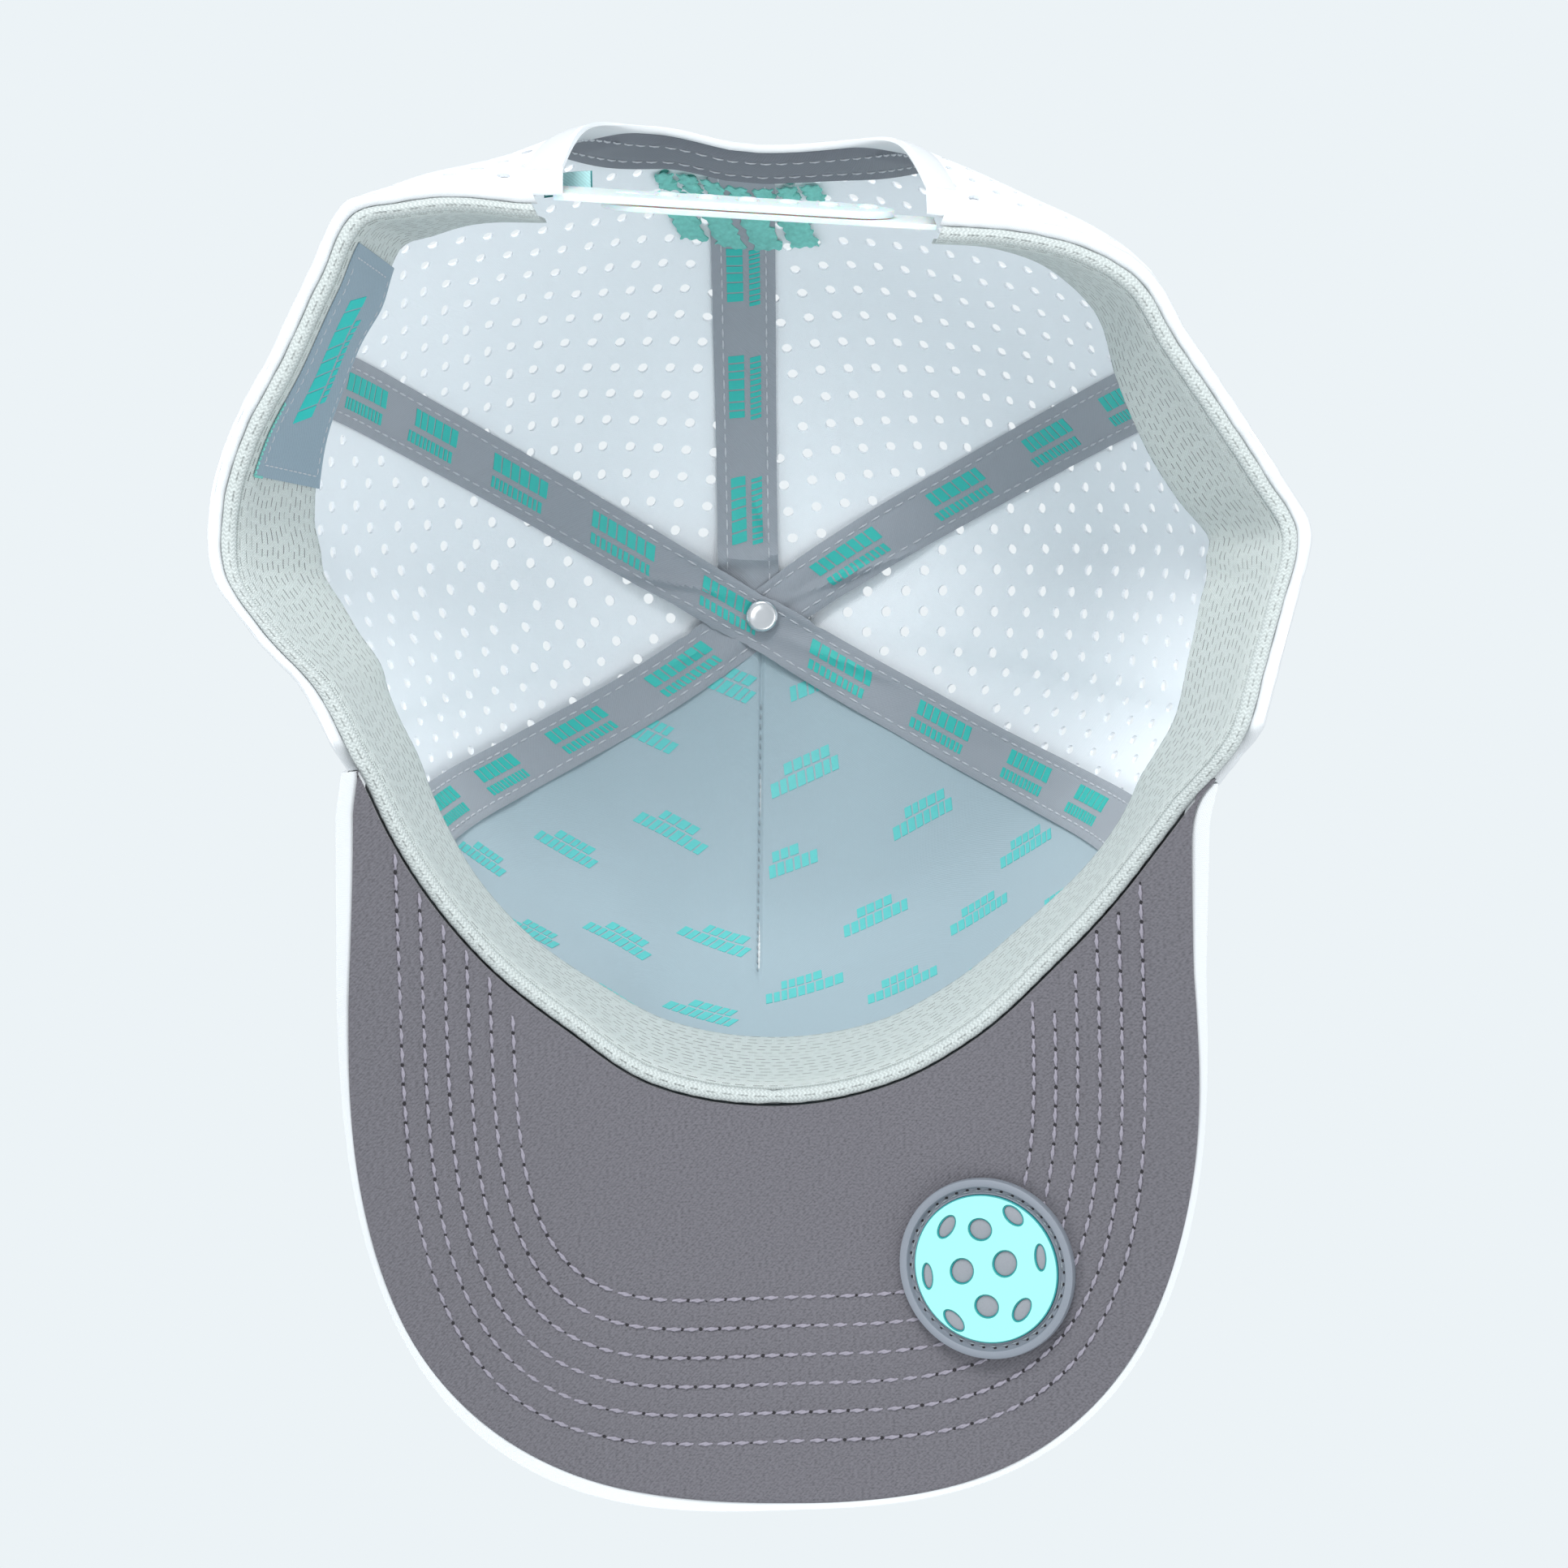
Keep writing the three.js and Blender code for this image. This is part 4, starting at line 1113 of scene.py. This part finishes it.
def brim_inner(count):
    angles = np.linspace(CORNERS[0], CORNERS[1], 400)
    radius = rim_radius(angles) + 0.3
    return evenly(polar(radius, angles, 0 * radius)[:, :2], count)


# Sewn rows of the brim: half width, length past the middle line and squareness.
SEWN_ROWS = [(68.4 - 3.95 * k, 90.4 - 5.45 * k, 3.15 + 0.15 * k) for k in range(6)]


def row_distance(x, y, a, b, power):
    """Distance in mm from a sewn row, good close to it."""
    down = np.minimum(y - BRIM_MIDDLE, 0)
    fx, fy = np.abs(x) / a, np.abs(down) / b
    level = fx ** power + fy ** power
    gx = power * fx ** (power - 1) / a
    gy = power * fy ** (power - 1) / b
    return (level - 1) / np.maximum(np.hypot(gx, gy), 1e-4)


def brim_point(x, y, height):
    return np.stack([x, y, brim_height(x, y) + height * brim_secant(x)], -1)


def brim_sheet(offset, stations, parts, height, groove=0.0, tucked=False):
    edge, inner = brim_outline(offset, stations), brim_inner(stations)
    if tucked:
        # The under cloth is drawn in most near the corners of the brim.
        back = ease(-95, -25, edge[:, 1]) * np.where(edge[:, 0] > 0, 2.0, 2.1)
        tip = 1.1 * ease(-120, -155, edge[:, 1]) * ease(-10, 30, edge[:, 0])
        edge = edge * (1 - ((back + tip) / 85)[:, None] * (1, 0.6))
    part = np.asarray(parts)[None, :, None]
    flat = inner[:, None] + (edge - inner)[:, None] * part
    x, y = flat[..., 0], flat[..., 1]
    sunk = np.zeros_like(x)
    for row in SEWN_ROWS:
        sunk += np.exp(-(row_distance(x, y, *row) / 0.75) ** 2)
    quilt = 0.1 * np.sin(x * 0.11) * np.sin(y * 0.13)
    return brim_point(x, y, height + groove * sunk + np.sign(groove) * quilt), flat


STATIONS = 230
parts = np.concatenate([np.linspace(0, 0.96, 62), [0.975, 0.988, 0.996, 1.0]])
under, flat = brim_sheet(0.0, STATIONS, parts, 0.0, 0.3, tucked=True)
under[:, -1, 2] += 0.3
under[:, -2, 2] += 0.1
over, _ = brim_sheet(0.0, STATIONS, parts, 0.62, tucked=True)
slab("brim_under_cloth", under, over, BRIM_CLOTH, flat[..., ::-1], stands_for=["brim_under_cover"],
     slot="brim_cloth")
top, flat = brim_sheet(1.0, STATIONS, parts, 3.72, -0.22)
lip_high = brim_sheet(1.25, STATIONS, [1.0], 2.9)[0]
lip_low = brim_sheet(1.1, STATIONS, [1.0], 0.35)[0]
inside_top = brim_sheet(0.2, STATIONS, parts, 3.08)[0]
inside_high = brim_sheet(0.2, STATIONS, [1.0], 2.6)[0]
inside_low = brim_sheet(0.15, STATIONS, [1.0], 0.2)[0]
lip_in = brim_sheet(-3.2, STATIONS, [1.0], 0.72)[0]
lip_in_high = brim_sheet(-3.2, STATIONS, [1.0], 1.0)[0]
outer = np.concatenate([top, lip_high, lip_low, lip_in], axis=1)
inside_low[..., 2] += 0.7
inner_side = np.concatenate([inside_top, inside_high, inside_low, lip_in_high], axis=1)
extra_flat = np.concatenate([flat, flat[:, -1:] * 1.03, flat[:, -1:] * 1.06,
                             flat[:, -1:] * 1.1], axis=1)
# Cloth in the darker copy of the white cloth: painted shade.
slab("brim_top_cloth", outer, inner_side, WHITE_SHADED, extra_flat[..., ::-1],
     stands_for=["brim_top_cover"], slot="shell")


def inside_rim(x, y):
    return np.hypot(x, y) < rim_radius(np.degrees(np.arctan2(y, x))) + 0.6


under_runs, top_runs, marks, mark_normals = [], [], [], []
for a, b, square in SEWN_ROWS:
    across, ahead = squarish(np.linspace(0, math.pi, 300), square)
    straight = np.linspace(-15, BRIM_MIDDLE, 60)[:-1]
    x = np.concatenate([np.full(59, a), a * across, np.full(59, -a)])
    y = np.concatenate([straight, BRIM_MIDDLE - b * ahead, straight[::-1]])
    keep = ~inside_rim(x, y)
    flat_path = evenly(np.stack([x[keep], y[keep]], -1), 500)
    x, y = flat_path[:, 0], flat_path[:, 1]
    path = brim_point(x, y, 0.26)
    normal = unit(np.stack([-x / BRIM_RADIUS, np.full_like(x, 0.1), -1 / brim_secant(x)], -1))
    under_runs.append((path, normal, 3.55, 3.1))
    top_runs.append((brim_point(x, y, 3.5), -normal, 3.55, 2.7))
    # Places between the stitches for dark caps painted as the shade of needle holes.
    walked = walk_along(path)
    at = np.arange(3.55, walked[-1], 3.55)
    marks.append(read_at(at, walked, path))
    mark_normals.append(read_at(at, walked, normal))
random.seed(8)
threads("brim_under_stitches", under_runs, THREAD_DARK, 0.28, twist=0.17)
threads("brim_top_stitches", top_runs, THREAD_WHITE, 0.2, sides=4, twist=0.08)
# Dark caps painted as needle-hole shade along each sewn row.
specks("brim_painted_needle_shade", np.concatenate(marks), np.concatenate(mark_normals), NEEDLE_SHADE, 0.4)

# ---------------------------------------------------------------- badge under the brim
BADGE_X, BADGE_Y, BADGE_SAG = -39.2, -117.0, 1.35
centre = brim_point(BADGE_X, BADGE_Y, 0.0)
badge_right = unit(brim_point(BADGE_X - 1, BADGE_Y, 0.0) - centre)
badge_back = unit(brim_point(BADGE_X, BADGE_Y + 1, 0.0) - centre)
badge_down = np.cross(badge_right, badge_back)
if badge_down[2] > 0:
    badge_down = -badge_down


def on_badge(x, y, drop):
    x, y, drop = np.broadcast_arrays(*(np.asarray(v, float) for v in (x, y, drop)))
    return (centre + x[..., None] * badge_right + y[..., None] * badge_back
            + (BADGE_SAG + drop)[..., None] * badge_down)


def badge_turning(name, rows, material, **options):
    """Turned ring: rows of radius and drop, closed round a loop."""
    radius, drop = np.array(rows, float).T
    spokes = round_loop(96, 1.0)[:, None]
    rings = on_badge(radius * spokes[..., 0], radius * spokes[..., 1], drop)
    return build(name, rings.reshape(-1, 3), ring_faces(96, len(rows), closed=True), material,
                 **options)


badge_turning("badge_ring", [
    (13.9, -0.4), (16.4, -1.0), (16.9, -0.5), (17.0, 0.2), (16.95, 1.2), (16.8, 1.65),
    (16.4, 1.85), (15.75, 1.85), (15.45, 1.7), (15.3, 1.3), (15.2, 0.75), (15.0, 0.55),
    (14.65, 0.5), (14.4, 0.55), (14.2, 0.8), (14.05, 0.9), (13.8, 0.6)], BADGE_GREY,
    stands_for=["patch_base"], slot="patch_grey")

# Round holes of a ball seen face on: place, two half widths and a turn.
BALL = [
    (-7.35, 7.6, 1.47, 2.65, -35), (-0.8, 7.4, 2.4, 2.2, 0), (5.7, 10.3, 1.6, 2.4, 47),
    (10.7, 2.7, 1.2, 2.65, 2), (-11.4, -1.9, 1.15, 2.6, 3), (-4.6, -0.6, 2.35, 2.6, -30),
    (3.8, 1.2, 2.4, 2.7, -30), (0, -7, 2.45, 2.3, 0), (6.8, -7.3, 1.55, 2.7, -35),
    (-6.5, -10, 1.5, 2.6, 45),
]


def ellipse(x, y, wide, tall, turn, count, grow=0.0):
    t = circle(count)
    px, py = (wide + grow) * np.cos(t), (tall + grow) * np.sin(t)
    return np.stack(rotated(px, py, turn), -1) + (x, y)


def badge_face():
    radius = 13.7
    outline = round_loop(90, radius)
    grid = hex_points((-14, -14), (14, 14), 1.1)
    grid = grid[np.hypot(grid[:, 0], grid[:, 1]) < radius - 0.7]
    for spot in BALL:
        grid = grid[~inside(grid, ellipse(*spot, 28, 0.35))]

    def is_hole(centres):
        return np.any([inside(centres, ellipse(*spot, 28, -0.02)) for spot in BALL], axis=0)

    flat, faces = fill(outline, [ellipse(*spot, 28) for spot in BALL], grid, is_hole)
    dome = 0.25 * (1 - (np.hypot(flat[:, 0], flat[:, 1]) / radius) ** 2)
    face = on_badge(flat[:, 0], flat[:, 1], 1.55 + dome)
    back = on_badge(flat[:, 0], flat[:, 1], 0.3)
    build("badge_face", np.concatenate([face, back]), thicken(faces, len(flat)), BADGE_MINT,
          stands_for=["patch_face"], slot="patch_mint")
    for k, spot in enumerate(BALL):
        def stacked(rows):
            return np.stack([on_badge(*ellipse(*spot, 28, grow).T, drop) for grow, drop in rows])

        rings = stacked(((0.0, 0.5), (0.0, 1.32), (-0.28, 1.36), (-0.28, 0.5)))
        build(f"badge_spot_rim_{k}", rings.reshape(-1, 3), ring_faces(4, 28, closed=True),
              BADGE_TEAL)
        tube(f"badge_spot_{k}", stacked(((-0.32, 0.4), (-0.32, 1.1), (-0.6, 1.2))), BADGE_SPOT)
    badge_turning("badge_face_rim", [(13.67, 0.5), (13.9, 0.5), (13.9, 1.42), (13.67, 1.5)],
                  BADGE_TEAL)


badge_face()
turns = np.linspace(0, 2 * math.pi, 200)
channel = on_badge(14.6 * np.cos(turns), 14.6 * np.sin(turns), 0.52)
threads("badge_stitches", [(channel, np.tile(badge_down, (200, 1)), 2.15, 1.6)], THREAD_GREY,
        0.17, twist=0.06)
# Dark caps round the groove of the ring, painted as the shade of needle holes in the groove.
groove = on_badge(*round_loop(42, 14.95).T, 0.62)
specks("badge_painted_needle_shade", groove, np.tile(badge_down, (42, 1)), NEEDLE_SHADE, 0.3)

# ---------------------------------------------------------------- closure straps
STRAP_LEAN, LINE_X, LINE_Y, LINE_SLOPE = 8.0, -0.3, 80.4, 0.093
STRAP_LOW, STRAP_HIGH, STRAP_THICK = 1.5, 17.5, 1.3
STUD_FRONT = -1.6
HOLE_BACK = STUD_FRONT + STRAP_THICK + 0.3
PEG_TOP = HOLE_BACK + STRAP_THICK + 0.6
PLACES = np.linspace(-22.2, 22.2, 7)


def strap_to_row(points):
    y, z = rotated(points[:, 1], points[:, 2], -STRAP_LEAN)
    x, y = rotated(points[:, 0], y, math.degrees(math.atan(LINE_SLOPE)))
    return np.stack([x + LINE_X, y + LINE_Y, z], -1)


def strap_outline(root, tip):
    middle, radius = (STRAP_LOW + STRAP_HIGH) / 2, (STRAP_HIGH - STRAP_LOW) / 2
    way = math.copysign(1, tip - root)
    bend = np.linspace(-math.pi / 2, math.pi / 2, 25)
    x = np.concatenate([[root], tip - way * radius + way * radius * np.cos(bend), [root]])
    z = np.concatenate([[STRAP_LOW], middle + radius * np.sin(bend), [STRAP_HIGH]])
    outline = np.stack([x, z], -1)
    rows = []
    for a, b in zip(outline, np.roll(outline, -1, axis=0)):
        pieces = max(1, int(np.hypot(*(b - a)) / 2.0))
        rows += [a + (b - a) * k / pieces for k in range(pieces)]
    return np.array(rows)


def strap(name, root, tip, back, thick, holes, node):
    outline = strap_outline(root, tip)
    middle = (STRAP_LOW + STRAP_HIGH) / 2
    places = np.stack([PLACES, np.full(7, middle)], -1) if holes else np.zeros((0, 2))
    grid = hex_points(outline.min(0), outline.max(0), 2.2)
    grid = grid[inside(grid, outline)]
    grid = grid[nearest(grid, outline) > 1.0]
    if holes:
        grid = grid[nearest(grid, places) > 3.0]
    flat, faces = fill_round(outline, places, 2.35, 28, grid)
    edge = nearest(flat, outline)
    soft = 0.12 * np.exp(-(edge / 0.5) ** 2)
    front = np.stack([flat[:, 0], back + thick - soft, flat[:, 1]], -1)
    rear = np.stack([flat[:, 0], back + soft, flat[:, 1]], -1)
    points = strap_to_row(np.concatenate([front, rear]))
    piece = build(name, points, thicken(faces, len(flat)), STRAP, body=node,
                  stands_for=[node], slot="strap")
    bevel = piece.modifiers.new("edge", "BEVEL")
    bevel.width, bevel.segments, bevel.limit_method = 0.00022, 2, "ANGLE"
    bevel.angle_limit = math.radians(50)
    return piece


# The outer strap is drawn thicker on its inner side, so that the two nearly touch.
strap("stud_strap_skin", -34.6, 26.9, STUD_FRONT, STRAP_THICK, False, "stud_strap")
strap("hole_strap_skin", 35.4, -26.9, HOLE_BACK - 0.24, STRAP_THICK + 0.24, True, "hole_strap")
points, faces = [], []
turns = circle(28)
for x in PLACES[:6]:
    first = len(points)
    for radius, y in ((2.1, STUD_FRONT + 1.0), (1.95, STUD_FRONT + 1.5), (1.9, PEG_TOP - 0.6),
                      (1.75, PEG_TOP - 0.25), (1.35, PEG_TOP - 0.04), (0.7, PEG_TOP)):
        points += list(strap_to_row(np.stack([
            x + radius * np.cos(turns), np.full(28, y), 9.5 + radius * np.sin(turns)], -1)))
    faces += ring_faces(6, 28, first)
build("closure_studs", points, faces, STRAP, body="stud_strap", slot="strap")


# ---------------------------------------------------------------- closure hems, flag label
def hem(name, start, stop):
    """Folded cloth at the end of the rear panel, where the strap is sewn in."""
    angles = np.linspace(start, stop, 30)
    sizes = np.linspace(0.995, 0.84, 16)
    angle, size = np.meshgrid(angles, sizes, indexing="ij")
    far = np.minimum(np.abs(angle - start), np.abs(stop - angle))
    face = crown(angle, size, 1.05 + 0.9 * ease(0, 0.8, far) + 0.12 * np.sin(angle * 2.4))
    back = crown(angle, size, 0.82)
    uv = np.stack([angle * 1.6, size * 100], -1)
    # Cloth in the darker copy of the white cloth: painted shade.
    slab(name, face, back, WHITE_SHADED, uv, slot="shell")


hem("left_closure_hem", 66.3, 50.0)
hem("right_closure_hem", 113.4, 130.0)


def flag_label():
    """Small woven tab folded in two, sewn in beside the left closure edge."""
    s, t = np.meshgrid(np.linspace(0, 1, 14), np.linspace(0, 1, 8), indexing="ij")
    for name, gap, material in (("flag_label_front", 0.0, TAB),
                                ("flag_label_back", 0.7, THREAD_DEEP)):
        x = 37.4 + 0.3 * gap - (8.6 + 0.7 * gap) * s
        y = 85.5 - 0.4 * gap + (3.6 + 0.8 * s + 0.5 * gap) * t + 0.3 * np.sin(s * 3.0)
        z = 18.8 + gap + 1.2 * t - 0.2 * s
        face = np.stack([x, y, z], -1)
        back = face + np.array([0.0, 0.05, 0.4])
        uv = np.stack([s * 8.4, t * 4.6], -1)
        slab(name, face, back, material, uv, stands_for=["flag_label"] if gap == 0 else (),
             slot="thread")


flag_label()


# ---------------------------------------------------------------- stitched mark above the arch
def mark_pieces(name, depth, material, node, lift):
    """Generic slanted blocks of dense thread, outside or seen from inside."""
    rear = Unrolled(90)
    points, faces, uvs = [], [], []
    blocks = [(-17 + 7.4 * k, 78, 5.6, 12) for k in range(4)]
    blocks += [(-18 + 4.8 * k, 70, 3.6, 5.4) for k in range(7)]
    for left, low, wide, tall in blocks:
        corners = [(left, low), (left + wide, low), (left + wide + 0.3 * tall, low + tall),
                   (left + 0.3 * tall, low + tall)]
        s, t = np.meshgrid(np.linspace(0, 1, 12), np.linspace(0, 1, 14), indexing="ij")
        bottom = np.array(corners[0]) + s[..., None] * (np.array(corners[1]) - corners[0])
        high = np.array(corners[3]) + s[..., None] * (np.array(corners[2]) - corners[3])
        flat = bottom + t[..., None] * (high - bottom)
        uneven = 0.35 * np.sin(flat[..., 1] * 2.6 + left) + 0.25 * np.sin(flat[..., 1] * 5.3)
        flat[..., 0] += uneven
        flat[..., 1] += 0.3 * np.sin(flat[..., 0] * 2.9 + low)
        rim = np.minimum(np.minimum(s, 1 - s), np.minimum(t, 1 - t))
        puff = ease(0, 0.2, rim)
        ridges = 0.06 * np.sin(flat[..., 1] * 9.0 + flat[..., 0])
        angle, size = rear.to_disc(flat[..., 0], flat[..., 1])
        face = crown(angle, size, depth + lift * (0.25 + 0.45 * puff + ridges))
        back = crown(angle, size, np.full_like(size, depth - lift * 0.1))
        start = len(points)
        points += list(face.reshape(-1, 3)) + list(back.reshape(-1, 3))
        count = 12 * 14
        faces += [tuple(i + start for i in f) for f in thicken(grid_faces(12, 14), count)]
        uvs += list(np.concatenate([flat.reshape(-1, 2)] * 2))
    build(name, points, faces, material, uvs, stands_for=[node], slot="thread")


mark_pieces("rear_mark_outside", 0.1, THREAD_TEAL, "rear_embroidery", -1.0)
mark_pieces("rear_mark_inside", 1.75, THREAD_TEAL, "embroidery_backing", 1.0)


# ---------------------------------------------------------------- button and rivet
def turned(name, rows, material, sides=64, ribs=0.0, **options):
    turns = circle(sides)
    rings = []
    for radius, z in rows:
        wave = 1 + ribs * np.cos(turns * 6) * (radius > 1)
        rings.append(np.stack([radius * wave * np.cos(turns), radius * wave * np.sin(turns),
                               np.full(sides, z)], -1))
    rings = np.stack(rings)
    uv = np.stack([rings[..., 0], rings[..., 1]], -1)
    return tube(name, rings, material, uv, **options)


cap_rows = [(6.6, 118.25), (7.5, 118.5), (7.75, 119.2), (7.6, 120.2), (7.1, 121.2), (6.2, 122.1),
            (5.0, 122.8), (3.6, 123.2), (2.0, 123.4), (0.5, 123.45)]
# Button cover in the lighter copy of the white cloth: painted light.
turned("button_cover", cap_rows, WHITE, ribs=0.008, stands_for=["top_button"], slot="shell")
rivet_rows = [(1.35, 120.5), (1.35, 113.2), (3.2, 113.1), (3.45, 112.8), (3.5, 112.3),
              (3.35, 111.9), (3.0, 111.65), (2.6, 111.58), (2.2, 111.62), (1.9, 111.72),
              (1.2, 111.75), (0.3, 111.75)]
turned("rivet_cap", rivet_rows, METAL, stands_for=["button_rivet"], slot="metal")

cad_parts["brim_board"].data.materials.clear()
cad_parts["brim_board"].data.materials.append(BOARD)

# ---------------------------------------------------------------- stage, light and camera
lowest = cad_box[0][2]
bpy.ops.mesh.primitive_plane_add(size=6.0, location=(0, 0, lowest - 0.0015))
floor = bpy.context.object
floor.name = "floor"
stage = Graph("floor_paper")
stage.shader.inputs["Base Color"].default_value = (0.80, 0.83, 0.85, 1)
stage.shader.inputs["Roughness"].default_value = 0.9
# The floor shows only from above, so that the view from below looks through it.
path = stage.add("ShaderNodeLightPath").outputs["Is Camera Ray"]
facing = stage.add("ShaderNodeNewGeometry").outputs["Backfacing"]
seen = stage.math("MULTIPLY", path, stage.math("SUBTRACT", 1.0, facing))
clear_shader = stage.add("ShaderNodeBsdfTransparent")
both = stage.add("ShaderNodeMixShader", [(0, seen), (1, clear_shader.outputs[0]),
                                         (2, stage.shader.outputs[0])])
output = stage.tree.nodes["Material Output"]
stage.tree.links.new(both.outputs[0], output.inputs["Surface"])
floor.data.materials.append(stage.material)

world = bpy.data.worlds.new("studio")
bpy.context.scene.world = world
world.use_nodes = True
nodes, links = world.node_tree.nodes, world.node_tree.links
ambient = nodes["Background"]
ambient.inputs["Color"].default_value = (0.84, 0.90, 0.94, 1)
# The studio is dimmer above than below, so that the white outside keeps its shading.
direction = nodes.new("ShaderNodeTexCoord")
parts = nodes.new("ShaderNodeSeparateXYZ")
links.new(direction.outputs["Generated"], parts.inputs[0])
dimmer = nodes.new("ShaderNodeMapRange")
for socket, value in (("From Min", -0.3), ("From Max", 0.5), ("To Min", 0.80), ("To Max", 0.56)):
    dimmer.inputs[socket].default_value = value
links.new(parts.outputs[2], dimmer.inputs["Value"])
links.new(dimmer.outputs[0], ambient.inputs["Strength"])
backdrop = nodes.new("ShaderNodeBackground")
backdrop.inputs["Color"].default_value = (0.84, 0.895, 0.925, 1)
backdrop.inputs["Strength"].default_value = 1.0
seen_direct = nodes.new("ShaderNodeLightPath")
choose = nodes.new("ShaderNodeMixShader")
links.new(seen_direct.outputs["Is Camera Ray"], choose.inputs[0])
links.new(ambient.outputs[0], choose.inputs[1])
links.new(backdrop.outputs[0], choose.inputs[2])
links.new(choose.outputs[0], nodes["World Output"].inputs["Surface"])


def softbox(name, place, aim, size, power, colour=(1, 1, 1)):
    light = bpy.data.lights.new(name, "AREA")
    light.shape, light.size, light.energy, light.color = "DISK", size, power, colour
    lamp = bpy.data.objects.new(name, light)
    lamp.location = place
    direction = Vector(aim) - Vector(place)
    lamp.rotation_euler = direction.to_track_quat("-Z", "Y").to_euler()
    bpy.context.scene.collection.objects.link(lamp)
    return lamp


softbox("below_key", (0.15, 0.95, -0.75), (0, -0.03, 0), 0.6, 11.5)
softbox("below_fill", (-0.5, -0.45, -1.0), (0, 0, 0), 0.9, 3.4)
softbox("left_side", (0.95, -0.25, -0.45), (0.06, -0.1, 0), 0.5, 2.6)
softbox("right_side", (-0.95, -0.25, -0.45), (-0.06, -0.1, 0), 0.5, 2.2)
softbox("above_key", (1.2, -0.7, 0.9), (0, 0, 0.05), 0.7, 6.0)

# The camera looks up from below. Its axis passes a little to the side of the row origin.
TILT, ROLL = math.radians(6.3), math.radians(1.9)
SENSOR, LENS, DISTANCE = 36.0, 81.149, 0.650
AXIS_RIGHT, AXIS_UP = -0.0043284, 0.0238806
forward = Vector((0, -math.sin(TILT), math.cos(TILT)))
flat_right, flat_up = Vector((-1, 0, 0)), Vector((0, math.cos(TILT), math.sin(TILT)))
right = flat_right * math.cos(ROLL) - flat_up * math.sin(ROLL)
up = flat_up * math.cos(ROLL) + flat_right * math.sin(ROLL)
camera_data = bpy.data.cameras.new("camera")
camera_data.sensor_width = SENSOR
camera_data.lens = LENS
camera_data.clip_start = 0.01
camera = bpy.data.objects.new("camera", camera_data)
place = -DISTANCE * forward - AXIS_RIGHT * right - AXIS_UP * up
camera.matrix_world = Matrix((
    (right.x, up.x, -forward.x, place.x),
    (right.y, up.y, -forward.y, place.y),
    (right.z, up.z, -forward.z, place.z),
    (0, 0, 0, 1)))
bpy.context.scene.collection.objects.link(camera)
bpy.context.scene.camera = camera
bpy.context.scene.view_settings.view_transform = "Standard"
